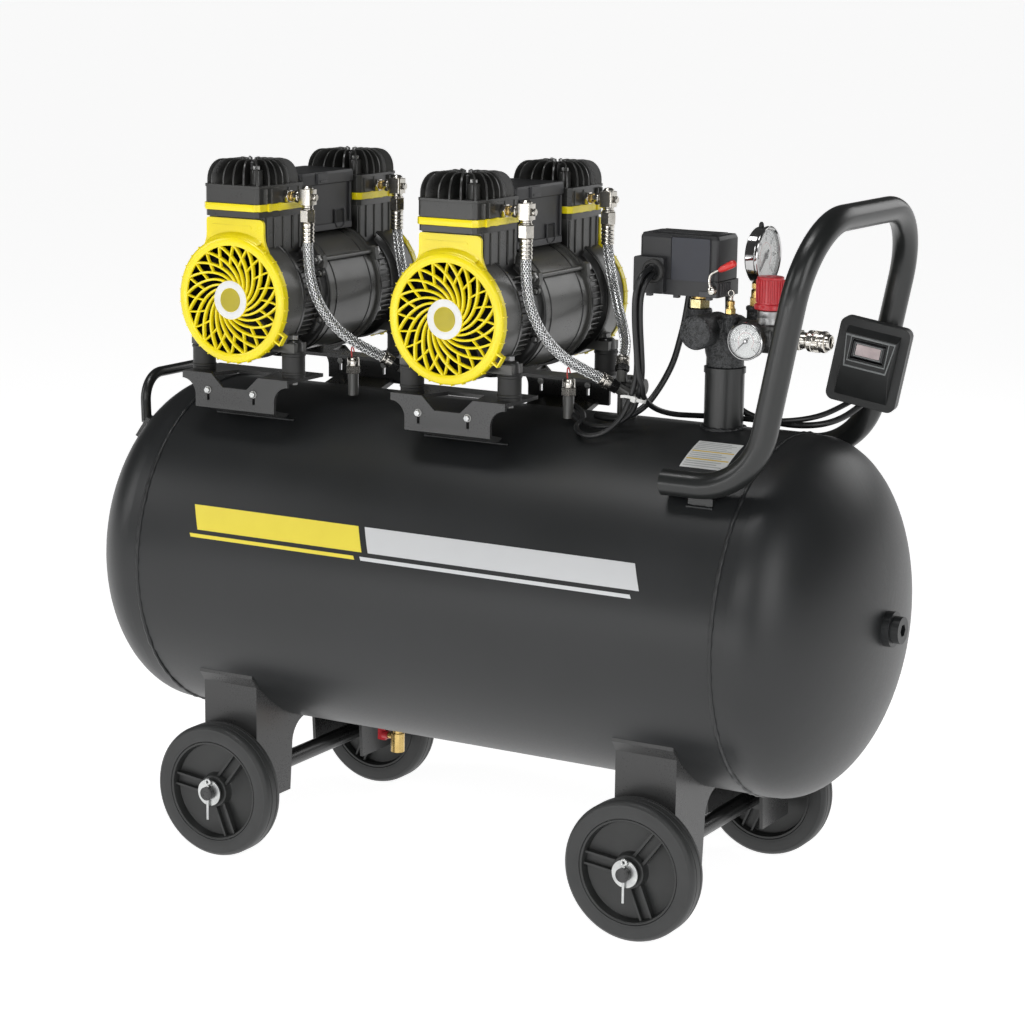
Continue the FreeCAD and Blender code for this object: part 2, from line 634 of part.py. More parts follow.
def make_gauges():
    case = rod(Vector(DIAL_X - 16, DIAL_Y, DIAL_Z), X, 30.0, 12)
    bezel = rod(Vector(DIAL_X - 5, DIAL_Y, DIAL_Z), X, 31.5, 5)
    stem = rod(Vector(DIAL_X - 10, 10, 674), Z, 4.4, 10)
    cap = rod(Vector(DIAL_X - 10, DIAL_Y, DIAL_Z + 27), Z, 2.5, 7)
    recess = rod(Vector(DIAL_X - 4.5, DIAL_Y, DIAL_Z), X, 28.0, 6)
    pivot = rod(Vector(DIAL_X - 8, DIAL_Y, DIAL_Z), X, 1.5, 5.2)
    save("tank_gauge", fuse(fuse(case, bezel, stem, cap).cut(recess), pivot))
    needle = box(DIAL_X - 3.4, DIAL_X - 2.4, DIAL_Y - 1, DIAL_Y + 1, DIAL_Z - 8, DIAL_Z + 22)
    needle = fuse(needle, rod(Vector(DIAL_X - 3.4, DIAL_Y, DIAL_Z), X, 3.4, 1.4))
    needle.rotate(Vector(0, DIAL_Y, DIAL_Z), X, 135)
    save("tank_gauge_needle", needle.cut(rod(Vector(DIAL_X - 10, DIAL_Y, DIAL_Z), X, 1.55, 9)))

    case = rod(Vector(SMALL_DIAL_X, SMALL_DIAL_Y, SMALL_DIAL_Z), Y, 19.0, 12)
    bezel = rod(Vector(SMALL_DIAL_X, SMALL_DIAL_Y, SMALL_DIAL_Z), Y, 20.0, 4)
    stem = rod(Vector(SMALL_DIAL_X, SMALL_DIAL_Y + 12, SMALL_DIAL_Z), Y, 5.0, 5)
    recess = rod(Vector(SMALL_DIAL_X, SMALL_DIAL_Y, SMALL_DIAL_Z), Y, 17.8, 3.6)
    pivot = rod(Vector(SMALL_DIAL_X, SMALL_DIAL_Y + 1.4, SMALL_DIAL_Z), Y, 1.2, 5)
    save("outlet_gauge", fuse(fuse(case, bezel, stem).cut(recess), pivot))
    y_low = SMALL_DIAL_Y + 1.6
    needle = box(SMALL_DIAL_X - 0.8, SMALL_DIAL_X + 0.8, y_low, y_low + 0.8,
                 SMALL_DIAL_Z - 5, SMALL_DIAL_Z + 14)
    needle = fuse(needle, rod(Vector(SMALL_DIAL_X, y_low, SMALL_DIAL_Z), Y, 2.6, 1.2))
    needle.rotate(Vector(SMALL_DIAL_X, 0, SMALL_DIAL_Z), Y, -135)
    hole = rod(Vector(SMALL_DIAL_X, SMALL_DIAL_Y, SMALL_DIAL_Z), Y, 1.25, 9)
    save("outlet_gauge_needle", needle.cut(hole))


def make_regulator():
    body = rod(Vector(302, REG_Y, REG_Z), X, 17.0, 50)
    bonnet = rod(Vector(REG_X, REG_Y, REG_Z + 10), Z, 13.0, 19)
    spindle = rod(Vector(REG_X, REG_Y, REG_Z + 29), Z, 5.0, 6)
    port = rod(Vector(SMALL_DIAL_X, -37, SMALL_DIAL_Z), Y, 7.0, 8)
    bore = rod(Vector(SMALL_DIAL_X, -40, SMALL_DIAL_Z), Y, 5.0, 5)
    save("regulator_body", fuse(body, bonnet, spindle, port).cut(bore))
    skirt = rod(Vector(REG_X, REG_Y, REG_Z + 29.4), Z, 16.2, 6)
    grip = rod(Vector(REG_X, REG_Y, REG_Z + 35), Z, 14.4, 29)
    ribs = []
    for k in range(24):
        rib = box(REG_X + 13, REG_X + 15.3, REG_Y - 0.9, REG_Y + 0.9, REG_Z + 38, REG_Z + 60)
        rib.rotate(Vector(REG_X, REG_Y, 0), Z, 15 * k)
        ribs.append(rib)
    socket = rod(Vector(REG_X, REG_Y, REG_Z + 29), Z, 5.0 + RUN, 8)
    save("regulator_knob", fuse(skirt, grip, *ribs).cut(socket))

    nose_end = 405.0
    hex_nut = hexagon(Vector(362, REG_Y, REG_Z), X, 20.0, 10)
    nose = rod(Vector(372, REG_Y, REG_Z), X, 8.6, nose_end - 372)
    socket = rod(Vector(381, REG_Y, REG_Z), X, 5.4, 25)
    save("coupler_body", fuse(hex_nut, nose).cut(socket))
    sleeve = ring(Vector(380, REG_Y, REG_Z), X, 11.4, 8.6 + RUN, 20)
    save("coupler_sleeve", sleeve)

    seat = Vector(292, -24, VALVE_Z)
    pin = rod(seat + Z * 14, Z, 1.2, 3.5)
    save("safety_valve", fuse(hexagon(seat, Z, 10.0, 6), rod(seat + Z * 6, Z, 4.2, 8), pin))
    pull = Part.makeTorus(3.2, 0.8, seat + Z * 21.9, Y)
    stem_cap = ring(seat + Z * 14.4, Z, 2.4, 1.2 + RUN, 5.0)
    save("safety_valve_ring", fuse(stem_cap, pull))


# ---- control box on the handle's rear leg ----
def handle_bar(r):
    """The push handle's bent bar with both its feet."""
    points = [Vector(FOOT_END_X, -GRIP_HALF, HANDLE_FOOT_Z), Vector(LEAN_START_X, -GRIP_HALF, HANDLE_FOOT_Z),
              Vector(GRIP_X, -GRIP_HALF, GRIP_Z), Vector(GRIP_X, GRIP_HALF, GRIP_Z),
              Vector(LEAN_START_X, GRIP_HALF, HANDLE_FOOT_Z), Vector(FOOT_END_X, GRIP_HALF, HANDLE_FOOT_Z)]
    return sweep(points, [75.0, 83.0, 83.0, 75.0], r)


def placed_on_leg(shape):
    """Turn a shape drawn about the leg's own line into its place on the leg."""
    copy = shape.copy()
    copy.rotate(Vector(0, 0, 0), Y, BOX_LEAN)
    copy.rotate(Vector(0, 0, 0), Z, BOX_YAW)
    copy.translate(BOX_LEG)
    return copy


def make_control_box():
    half_w = 38.9
    half_h = 46.4
    back = -15.5
    front = -33.0
    nose = -47.0
    plan = box(-half_w, half_w, front, back, -half_h, half_h)
    corners = [e for e in plan.Edges if abs(e.tangentAt(e.FirstParameter).y) > 0.9]
    plan = plan.makeFillet(9.0, corners)
    profile = [Vector(-29, front + 1, 37), Vector(-29, nose, 31), Vector(-29, nose, -6),
               Vector(-29, front + 1, -39)]
    wedge = prism(profile, X, 58)
    rocker_z = 16.0
    window = box(-18.5, 18.5, nose - 1, nose + 7, rocker_z - 11, rocker_z + 11)
    clamp = box(-12, 28, back, -4, -30, 30)
    shell = placed_on_leg(fuse(plan, wedge, clamp).cut(window)).cut(handle_bar(TUBE_R))
    for route, diameter in ((BOX_LEAD, STRAND_D), (BOX_CABLE, CABLE_D)):
        before, end = Vector(*route[-2]), Vector(*route[-1])
        shell = shell.cut(rod(before, end - before, diameter / 2, (end - before).Length))
    save("control_box", shell)
    profile = [(6, 0), (2.5, -10), (-1.2, -8), (-0.2, 0), (-1.2, 8), (2.5, 10)]
    rocker = prism([Vector(-18, nose + y, rocker_z + z) for y, z in profile], X, 36)
    save("rocker_switch", placed_on_leg(rocker))


# ---- handles and drain ----
def make_handles():
    bar = handle_bar(TUBE_R)
    tank = rod(Vector(-SHELL_HALF, 0, TANK_Z), X, TANK_R, 2 * SHELL_HALF)
    pads = []
    for end in (-1, 1):
        pad = box(304, 332, GRIP_HALF - 18, GRIP_HALF - 3, 440, HANDLE_FOOT_Z)
        pad = pad.cut(tank).cut(rod(Vector(200, GRIP_HALF, HANDLE_FOOT_Z), X, TUBE_R, 250))
        pads.append(pad if end > 0 else mirror_y(pad))
    save("main_handle", bar.cut(handle_bar(TUBE_R - 2)), *pads)

    foot = Vector(-431, -80, 474)
    points = [foot, Vector(-438, -72, 498), Vector(-441, -66, 527), Vector(-441, 66, 527),
              Vector(-438, 72, 498), Vector(-431, 80, 474)]
    loop = sweep(points, [30.0, 34.0, 34.0, 30.0], 6.0)
    lugs = []
    for end in (-1, 1):
        lug = box(-13, 13, -9, 9, 0, 5)
        lug.rotate(Vector(0, 0, 0), Y, -58)
        lug.rotate(Vector(0, 0, 0), Z, -end * 20)
        lugs.append(moved(lug, -431, end * 80, 467))
    dome = ellipse_solid(0.0)
    dome.rotate(Vector(0, 0, 0), Z, 180)
    save("rear_handle", fuse(loop, *lugs).cut(dome))


def make_drain():
    barrel = fuse(rod(Vector(DRAIN_X, 0, 100), Z, 8.0, 22), rod(Vector(DRAIN_X, 0, 120), Z, 6.0, 20))
    stem = rod(Vector(DRAIN_X - 12, 0, 118), X, 4.0, 12)
    tank = rod(Vector(-SHELL_HALF, 0, TANK_Z), X, TANK_R, 2 * SHELL_HALF)
    outlet = rod(Vector(DRAIN_X, 0, 99), Z, 3.2, 16)
    save("drain_valve", fuse(barrel, stem).cut(tank).cut(outlet))
    lever = fuse(rod(Vector(DRAIN_X - 20, 0, 118), X, 5.0, 7.7),
                 box(DRAIN_X - 26, DRAIN_X - 16, -2.5, 2.5, 111, 125))
    save("drain_lever", lever)


# ---- electric leads ----
def make_leads():
    pump_right = [(213.5, -50, 689.5), (214, -66, 686), (209.5, -71, 668), (208, -68, 640),
                  (207.5, -62, 610), (206.5, -56, 580), (199, -51, 555), (190, -50, 536),
                  (172, -57, 523.5), (150, -58, 521), (128, -50, 524), (108, -34, 530)]
    pump_left = [(208.2, -50, 689.0), (207.5, -65, 686), (203, -69, 667), (201.5, -66, 640),
                 (201, -61, 610), (200, -57, 580), (193, -57, 556), (188, -66, 536),
                 (176, -79, 520), (158, -84, 514.5), (141, -77, 517), (131, -64, 521.5),
                 (134, -48, 526.5), (121, -36, 536), (102, -26, 538)]
    power = [(228, 8, 667), (224.3, 8, 638.9), (218.8, 6, 612.8), (214.3, 2, 590.1), (208, -6, 571),
             (202.5, -17, 555.7), (197, -28, 544), (187, -37, 535), (172, -41, 529.5),
             (155, -38, 527.5), (138, -30, 528)]
    for node, route, diameter in (("pump_lead_right", pump_right, STRAND_D),
                                  ("pump_lead_left", pump_left, STRAND_D),
                                  ("power_lead", power, CABLE_D),
                                  ("control_lead", BOX_LEAD, STRAND_D),
                                  ("control_cable", BOX_CABLE, CABLE_D)):
        cord(node, [Vector(*p) for p in route], diameter)


make_tank()
make_undercarriage()
make_wheels()
make_supports()
make_hoses(make_pumps())
make_controls()
make_control_box()
make_handles()
make_drain()
make_leads()
print(len(os.listdir("parts")), "nodes")
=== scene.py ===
from math import cos, log, pi, radians, sin, sqrt

import bmesh
import bpy
from mathutils import Matrix, Vector, noise


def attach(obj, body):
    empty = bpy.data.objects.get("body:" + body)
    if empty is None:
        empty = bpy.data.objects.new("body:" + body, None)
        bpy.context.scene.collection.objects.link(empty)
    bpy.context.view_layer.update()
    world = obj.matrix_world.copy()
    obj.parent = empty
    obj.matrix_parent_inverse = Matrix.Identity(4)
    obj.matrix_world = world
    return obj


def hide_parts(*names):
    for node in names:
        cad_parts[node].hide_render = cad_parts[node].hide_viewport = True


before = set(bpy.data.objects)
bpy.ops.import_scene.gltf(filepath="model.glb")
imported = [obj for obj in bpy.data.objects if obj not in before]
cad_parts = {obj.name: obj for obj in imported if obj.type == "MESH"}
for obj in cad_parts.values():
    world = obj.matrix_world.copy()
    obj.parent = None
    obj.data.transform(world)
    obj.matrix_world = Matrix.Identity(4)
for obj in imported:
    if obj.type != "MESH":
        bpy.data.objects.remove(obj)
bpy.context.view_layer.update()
scene = bpy.context.scene
X, Y, Z = Vector((1, 0, 0)), Vector((0, 1, 0)), Vector((0, 0, 1))


# ---------------------------------------------------------------- camera
def make_camera():
    azimuth, elevation, roll = (radians(a) for a in (29.62, 11.55, 0.79))
    back = Vector((sin(azimuth) * cos(elevation), -cos(azimuth) * cos(elevation), sin(elevation)))
    right = Vector((cos(azimuth), sin(azimuth), 0))
    up = back.cross(right)
    r = right * cos(roll) + up * sin(roll)
    u = up * cos(roll) - right * sin(roll)
    data = bpy.data.cameras.new("camera")
    data.lens, data.sensor_width = 97.49, 36.0
    data.clip_end = 60
    camera = bpy.data.objects.new("camera", data)
    scene.collection.objects.link(camera)
    turn = Matrix((r, u, back)).transposed().to_4x4()
    camera.matrix_world = Matrix.Translation((1.5279, -2.6554, 1.0263)) @ turn
    scene.camera = camera


make_camera()


# ---------------------------------------------------------------- materials
class Shader:
    """A new node material and the few nodes that the finishes share."""

    def __init__(self, name):
        self.material = bpy.data.materials.new(name)
        self.material.use_nodes = True
        self.nodes, self.links = self.material.node_tree.nodes, self.material.node_tree.links
        self.surface = self.nodes["Principled BSDF"]

    def node(self, kind, values=(), fed=()):
        """Adds a node with set inputs, and feeds others from sockets."""
        node = self.nodes.new("ShaderNode" + kind)
        for key, value in dict(values).items():
            node.inputs[key].default_value = value
        for key, socket in dict(fed).items():
            self.links.new(socket, node.inputs[key])
        return node

    def set(self, **values):
        for key, value in values.items():
            self.surface.inputs[key.replace("_", " ")].default_value = value

    def feed(self, key, socket):
        self.links.new(socket, self.surface.inputs[key])

    def coords(self, scale=(1, 1, 1)):
        where = self.node("TexCoord").outputs["Object"]
        return self.node("Mapping", {"Scale": scale}, {"Vector": where}).outputs["Vector"]

    def noise(self, vector, scale, detail=3.0):
        values = {"Scale": scale, "Detail": detail, "Roughness": 0.55}
        return self.node("TexNoise", values, {"Vector": vector}).outputs["Fac"]

    def ramp(self, fac, low, high, a, b):
        values = {"From Min": low, "From Max": high, "To Min": a, "To Max": b}
        return self.node("MapRange", values, {"Value": fac}).outputs["Result"]

    def blend(self, fac, a, b):
        m = self.node("Mix")
        m.data_type = "RGBA"
        # the colour sockets of a Mix node: 0 is the factor, 6 and 7 are A and B, and the result is 2
        if hasattr(a, "node"):
            self.links.new(a, m.inputs[6])
        else:
            m.inputs[6].default_value = (*a, 1)
        m.inputs[7].default_value = (*b, 1)
        self.links.new(fac, m.inputs[0])
        return m.outputs[2]


def finish_of(name, colour, other, rough, patch, grain, bump, metal=0.0, depth=0.0002, coat=0.0, sheen=0.0,
              voronoi=False, wear=None, stretch=(1, 1, 1)):
    """A procedural finish: slow colour patches, fine grain in gloss and relief, and worn or dusty edges."""
    s = Shader(name)
    at = s.coords(stretch)
    slow = s.noise(at, patch, 4.0)
    fine = s.noise(at, grain, 2.0)
    shade = s.blend(s.ramp(slow, 0.35, 0.65, 0, 1), colour, other)
    if wear:
        tone, amount = wear
        pointiness = s.node("NewGeometry").outputs["Pointiness"]
        shade = s.blend(s.ramp(pointiness, 0.53, 0.60, 0, amount), shade, tone)
    s.feed("Base Color", shade)
    mixed = s.node("Math", (), {0: s.ramp(slow, 0.3, 0.7, 0, 0.5), 1: s.ramp(fine, 0.3, 0.7, 0, 0.5)})
    mixed.operation = "ADD"
    s.feed("Roughness", s.ramp(mixed.outputs[0], 0, 1, *rough))
    height = fine
    if voronoi:
        height = s.node("TexVoronoi", {"Scale": grain}, {"Vector": at}).outputs["Distance"]
    relief = s.node("Bump", {"Strength": bump, "Distance": depth}, {"Height": height})
    s.feed("Normal", relief.outputs["Normal"])
    s.set(Metallic=metal, Coat_Weight=coat, Coat_Roughness=0.12, Sheen_Weight=sheen, IOR=1.5)
    return s.material


# each finish: colour, second colour, roughness range, scale of the patches, scale of the grain, relief
tank_paint = finish_of("tank_paint", (0.0095, 0.0105, 0.0110), (0.0125, 0.0135, 0.0145), (0.36, 0.44), 7,
                       420, 0.05)
dark_paint = finish_of("dark_paint", (0.0060, 0.0064, 0.0064), (0.0095, 0.0100, 0.0100), (0.24, 0.34), 14,
                       500, 0.08, wear=((0.10, 0.10, 0.10), 0.35))
handle_paint = finish_of("handle_paint", (0.010, 0.011, 0.0108), (0.013, 0.014, 0.0138), (0.28, 0.36), 9,
                         450, 0.05, coat=0.1)
cast_black = finish_of("cast_black", (0.0070, 0.0070, 0.0070), (0.0120, 0.0120, 0.0115), (0.24, 0.40), 40,
                       900, 0.16, wear=((0.16, 0.16, 0.15), 0.45), coat=0.15)
rough_cast = finish_of("rough_cast", (0.012, 0.013, 0.013), (0.060, 0.062, 0.065), (0.25, 0.5), 260, 520,
                       0.9, depth=0.0010, voronoi=True)
zinc = finish_of("zinc", (0.62, 0.63, 0.62), (0.48, 0.49, 0.49), (0.22, 0.42), 90, 1500, 0.06, metal=1)
nickel = finish_of("nickel", (0.66, 0.63, 0.58), (0.52, 0.50, 0.46), (0.14, 0.26), 60, 1200, 0.03, metal=1)
steel = finish_of("steel", (0.42, 0.42, 0.42), (0.33, 0.33, 0.32), (0.25, 0.4), 50, 900, 0.08, metal=1,
                  stretch=(1, 8, 1))
brass = finish_of("brass", (0.72, 0.52, 0.20), (0.55, 0.38, 0.14), (0.2, 0.36), 80, 1300, 0.05, metal=1)
yellow = finish_of("yellow", (0.90, 0.75, 0.008), (0.84, 0.69, 0.007), (0.24, 0.34), 25, 800, 0.03,
                   coat=0.2)
black_plastic = finish_of("black_plastic", (0.011, 0.0115, 0.0125), (0.016, 0.0165, 0.018), (0.36, 0.50),
                          30, 1600, 0.18, depth=0.00015, wear=((0.13, 0.13, 0.14), 0.35))
box_plastic = finish_of("box_plastic", (0.011, 0.012, 0.012), (0.016, 0.017, 0.017), (0.4, 0.5), 35, 1500,
                        0.16, depth=0.00015)
grey_plastic = finish_of("grey_plastic", (0.16, 0.17, 0.17), (0.20, 0.21, 0.21), (0.4, 0.5), 35, 1500, 0.14,
                         depth=0.00015)
blue_black = finish_of("blue_black", (0.017, 0.019, 0.027), (0.022, 0.024, 0.034), (0.34, 0.44), 25, 1500,
                       0.10, depth=0.00015)
rubber = finish_of("rubber", (0.012, 0.012, 0.012), (0.020, 0.020, 0.019), (0.45, 0.62), 60, 1400, 0.15,
                   sheen=0.08)
tyre_rubber = finish_of("tyre_rubber", (0.020, 0.021, 0.021), (0.028, 0.029, 0.029), (0.42, 0.55), 30, 1300,
                        0.12, sheen=0.05)
rim_plastic = finish_of("rim_plastic", (0.018, 0.019, 0.0185), (0.025, 0.026, 0.0255), (0.36, 0.5), 40,
                        1200, 0.12)
cable_black = finish_of("cable_black", (0.011, 0.0115, 0.012), (0.016, 0.0165, 0.017), (0.28, 0.4), 50, 900,
                        0.08)
red_plastic = finish_of("red_plastic", (0.50, 0.022, 0.030), (0.42, 0.016, 0.024), (0.28, 0.4), 60, 900,
                        0.05, coat=0.2)
red_dip = finish_of("red_dip", (0.68, 0.035, 0.03), (0.58, 0.025, 0.022), (0.25, 0.35), 60, 700, 0.05,
                    coat=0.3)
silver_paint = finish_of("silver_paint", (0.70, 0.71, 0.72), (0.66, 0.67, 0.68), (0.3, 0.38), 8, 1200, 0.03,
                         metal=0.3)
cast_silver = finish_of("cast_silver", (0.42, 0.42, 0.42), (0.33, 0.33, 0.33), (0.32, 0.5), 60, 900, 0.15,
                        metal=1)
white_plastic = finish_of("white_plastic", (0.78, 0.78, 0.76), (0.72, 0.72, 0.70), (0.35, 0.5), 40, 900,
                          0.03)
dial_white = finish_of("dial_white", (0.74, 0.75, 0.74), (0.68, 0.69, 0.69), (0.4, 0.5), 60, 1200, 0.02)
print_black = finish_of("print_black", (0.008, 0.008, 0.008), (0.012, 0.012, 0.012), (0.45, 0.55), 60, 900,
                        0.02)
label_paper = finish_of("label_paper", (0.66, 0.67, 0.66), (0.60, 0.61, 0.60), (0.4, 0.5), 60, 900, 0.02)
label_grey = finish_of("label_grey", (0.30, 0.31, 0.31), (0.36, 0.37, 0.37), (0.4, 0.5), 200, 900, 0.02)
label_gold = finish_of("label_gold", (0.66, 0.48, 0.07), (0.60, 0.43, 0.06), (0.4, 0.5), 60, 900, 0.02)
yellow_film = finish_of("yellow_film", (0.80, 0.67, 0.07), (0.75, 0.62, 0.06), (0.3, 0.4), 12, 500, 0.03)
rocker_window = finish_of("rocker_window", (0.50, 0.41, 0.41), (0.42, 0.35, 0.35), (0.14, 0.24), 120, 900,
                          0.04, coat=0.4)
braid_wire = finish_of("braid_wire", (0.86, 0.87, 0.87), (0.60, 0.61, 0.61), (0.20, 0.32), 700, 2600, 0.2,
                       metal=0.9)
olive_disc = finish_of("olive_disc", (0.46, 0.38, 0.012), (0.40, 0.33, 0.010), (0.28, 0.38), 40, 900, 0.04)
gold_zinc = finish_of("gold_zinc", (0.66, 0.60, 0.36), (0.50, 0.45, 0.22), (0.2, 0.36), 80, 1300, 0.05,
                      metal=1)
black_oxide = finish_of("black_oxide", (0.045, 0.045, 0.047), (0.07, 0.07, 0.07), (0.18, 0.32), 80, 1200,
                        0.05, metal=0.9)
chrome = finish_of("chrome", (0.50, 0.50, 0.50), (0.40, 0.40, 0.40), (0.07, 0.16), 30, 900, 0.02, metal=1)
# painted shade: a near-black finish for the insides of holes, recesses and seams, and for the hose's inner
# tube, which is partly its own dark rubber and partly painted shade between the braid wires
painted_shade_black = finish_of("painted_shade_black", (0.006, 0.006, 0.006), (0.010, 0.010, 0.010), (0.6, 0.7), 60, 900, 0.03)


def glass_finish():
    s = Shader("gauge_glass")
    s.set(Base_Color=(0.95, 0.97, 0.97, 1), Alpha=0.12, Coat_Weight=0.6)
    s.feed("Roughness", s.ramp(s.noise(s.coords(), 60.0), 0.3, 0.7, 0.02, 0.07))
    return s.material


gauge_glass = glass_finish()


# ---------------------------------------------------------------- mesh tools (millimetres)
def facing(origin, axis, up=None):
    """A matrix whose local Z lies along axis, and whose local Y leans towards up."""
    w = Vector(axis).normalized()
    hint = Vector(up) if up else (Z if abs(w.z) < 0.9 else Y)
    u = hint.cross(w).normalized()
    v = w.cross(u)
    m = Matrix((u, v, w)).transposed().to_4x4()
    m.translation = Vector(origin)
    return m


def upright(x, y, z=0):
    """At a point, with local Z upwards."""
    return facing((x, y, z), Z, Y)


def rightward(x, y, z):
    """At a point, with local Z along X and local Y upwards."""
    return facing((x, y, z), X, Z)


def outward(x, y, z, sign=-1):
    """At a point, with local Z to the front (-1) or to the rear (1), and local Y upwards."""
    return facing((x, y, z), (0, sign, 0), Z)


def moved(x, y, z=0):
    return Matrix.Translation((x, y, z))


def spun(degrees):
    return Matrix.Rotation(radians(degrees), 4, "Z")


class Build:
    """Collects faces in millimetres and turns them into one piece."""

    def __init__(self):
        self.verts, self.faces, self.mats = [], [], []

    def add(self, verts, faces, mat=0, at=None):
        base = len(self.verts)
        self.verts += [tuple((at @ Vector(v)) if at else v) for v in verts]
        self.faces += [[base + i for i in f] for f in faces]
        self.mats += [mat] * len(faces)

    def box(self, lo, hi, mat=0, at=None):
        x, y, z = (sorted(pair) for pair in zip(lo, hi))
        verts = [(x[i], y[j], z[k]) for i in (0, 1) for j in (0, 1) for k in (0, 1)]
        faces = [(0, 1, 3, 2), (4, 6, 7, 5), (0, 4, 5, 1), (2, 3, 7, 6), (0, 2, 6, 4), (1, 5, 7, 3)]
        self.add(verts, faces, mat, at)

    def prism(self, outline, z0, z1, mat=0, at=None, top_scale=1.0):
        n = len(outline)
        cx = sum(p[0] for p in outline) / n
        cy = sum(p[1] for p in outline) / n
        verts = [(x, y, z0) for x, y in outline]
        verts += [(cx + (x - cx) * top_scale, cy + (y - cy) * top_scale, z1) for x, y in outline]
        faces = [tuple(reversed(range(n))), tuple(range(n, 2 * n))]
        faces += [(i, (i + 1) % n, n + (i + 1) % n, n + i) for i in range(n)]
        self.add(verts, faces, mat, at)

    def hexagon(self, across, z0, z1, mat=0, at=None, chamfer=0.8):
        r = across / sqrt(3)
        ring = [(cos(radians(60 * k)), sin(radians(60 * k))) for k in range(6)]
        levels = [(r - chamfer, z0), (r, z0 + chamfer * 0.6), (r, z1 - chamfer * 0.6), (r - chamfer, z1)]
        verts = [(q * c, q * s, z) for q, z in levels for c, s in ring]
        faces = [(5, 4, 3, 2, 1, 0), (18, 19, 20, 21, 22, 23)]
        for level in range(3):
            for k in range(6):
                a, b = level * 6 + k, level * 6 + (k + 1) % 6
                faces.append((a, b, b + 6, a + 6))
        self.add(verts, faces, mat, at)

    def lathe(self, profile, mat=0, at=None, seg=48, closed=False, start=0.0, sweep=360.0):
        """Turns (radius, height) points round the local Z axis."""
        whole = abs(sweep - 360) < 1e-6
        steps = seg if whole else seg + 1
        verts, rows = [], []
        for k in range(steps):
            a = radians(start + sweep * k / seg)
            row = []
            for r, h in profile:
                row.append(len(verts))
                verts.append((r * cos(a), r * sin(a), h))
            rows.append(row)
        count = len(profile)
        faces = []
        for k in range(seg):
            a, b = rows[k], rows[(k + 1) % steps]
            for i in range(count if closed else count - 1):
                j = (i + 1) % count
                face = [a[i], b[i], b[j], a[j]]
                if profile[i][0] < 1e-6:
                    face = [a[i], b[j], a[j]]
                elif profile[j][0] < 1e-6:
                    face = [a[i], b[i], a[j]]
                faces.append(face)
        self.add(verts, faces, mat, at)

    def rod(self, r, z0, z1, mat=0, at=None, seg=48):
        self.lathe([(0, z0), (r, z0), (r, z1), (0, z1)], mat, at, seg)

    def sweep(self, points, section, mat=0, at=None, loop=False, up=None):
        """Carries a closed section, a list of (side, up) offsets or a function of the step, along points."""
        pts = [Vector(p) for p in points]
        n = len(pts)
        verts = []
        side = None
        for i, p in enumerate(pts):
            before = pts[(i - 1) % n] if (i or loop) else pts[0]
            after = pts[(i + 1) % n] if (i < n - 1 or loop) else pts[-1]
            tangent = (after - before).normalized()
            if up:
                side = tangent.cross(Vector(up)).normalized()
            elif side is None:
                hint = Z if abs(tangent.z) < 0.9 else X
                side = tangent.cross(hint).normalized()
            else:
                side = (side - tangent * side.dot(tangent)).normalized()
            lift = side.cross(tangent)
            shape = section(i / max(1, n - 1)) if callable(section) else section
            verts += [p + side * a + lift * b for a, b in shape]
            m = len(shape)
        faces = []
        for i in range(n if loop else n - 1):
            j = (i + 1) % n
            for k in range(m):
                q = (k + 1) % m
                faces.append((i * m + k, j * m + k, j * m + q, i * m + q))
        if not loop:
            faces += [tuple(range(m)), tuple(reversed(range((n - 1) * m, n * m)))]
        self.add(verts, faces, mat, at)

    def done(self, name, body, slot, materials, bevel=0.0, replaces=(), angle=32, segments=2):
        mesh = bpy.data.meshes.new(name)
        mesh.from_pydata([[c * 0.001 for c in v] for v in self.verts], [], self.faces)
        for m in materials:
            mesh.materials.append(m)
        mesh.polygons.foreach_set("material_index", self.mats)
        work = bmesh.new()
        work.from_mesh(mesh)
        bmesh.ops.recalc_face_normals(work, faces=work.faces)
        work.to_mesh(mesh)
        work.free()
        mesh.update()
        piece = bpy.data.objects.new(name, mesh)
        scene.collection.objects.link(piece)
        mesh.shade_smooth()
        mesh.set_sharp_from_angle(angle=radians(angle))
        if bevel:
            mod = piece.modifiers.new("edges", "BEVEL")
            mod.width, mod.segments = bevel * 0.001, segments
            mod.limit_method, mod.angle_limit = "ANGLE", radians(angle)
            mod.harden_normals = False
        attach(piece, body)
        if replaces:
            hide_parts(*replaces)
        return piece


def circle(r, seg):
    return [(r * cos(2 * pi * k / seg), r * sin(2 * pi * k / seg)) for k in range(seg)]


def oblong(w, h):
    """Corners of a rectangle about the origin, as half sizes."""
    return [(-w, -h), (w, -h), (w, h), (-w, h)]


def keystone(w0, y0, w1, y1):
    """Four corners that go from half width w0 at y0 to half width w1 at y1."""
    return [(-w0, y0), (w0, y0), (w1, y1), (-w1, y1)]


def wedge(x0, h0, x1, h1):
    """Four corners that go from half height h0 at x0 to half height h1 at x1."""
    return [(x0, -h0), (x1, -h1), (x1, h1), (x0, h0)]


def rounded(w, h, r, seg=5):
    """Outline of a rounded rectangle about the origin."""
    pts = []
    for cx, cy, a0 in ((w - r, h - r, 0), (r - w, h - r, 90), (r - w, r - h, 180), (w - r, r - h, 270)):
        for k in range(seg + 1):
            a = radians(a0 + 90 * k / seg)
            pts.append((cx + r * cos(a), cy + r * sin(a)))
    return pts


def mirrored(profile, width):
    """The other half of a lathe profile that is alike on both faces of a disc."""
    return [(r, width - h) for r, h in reversed(profile)]


def painted(node, material):
    """Gives a CAD node its finish."""
    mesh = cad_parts[node].data
    mesh.materials.clear()
    mesh.materials.append(material)


# ---------------------------------------------------------------- cords
PUMPS = {"left": -264.0, "right": 14.0}
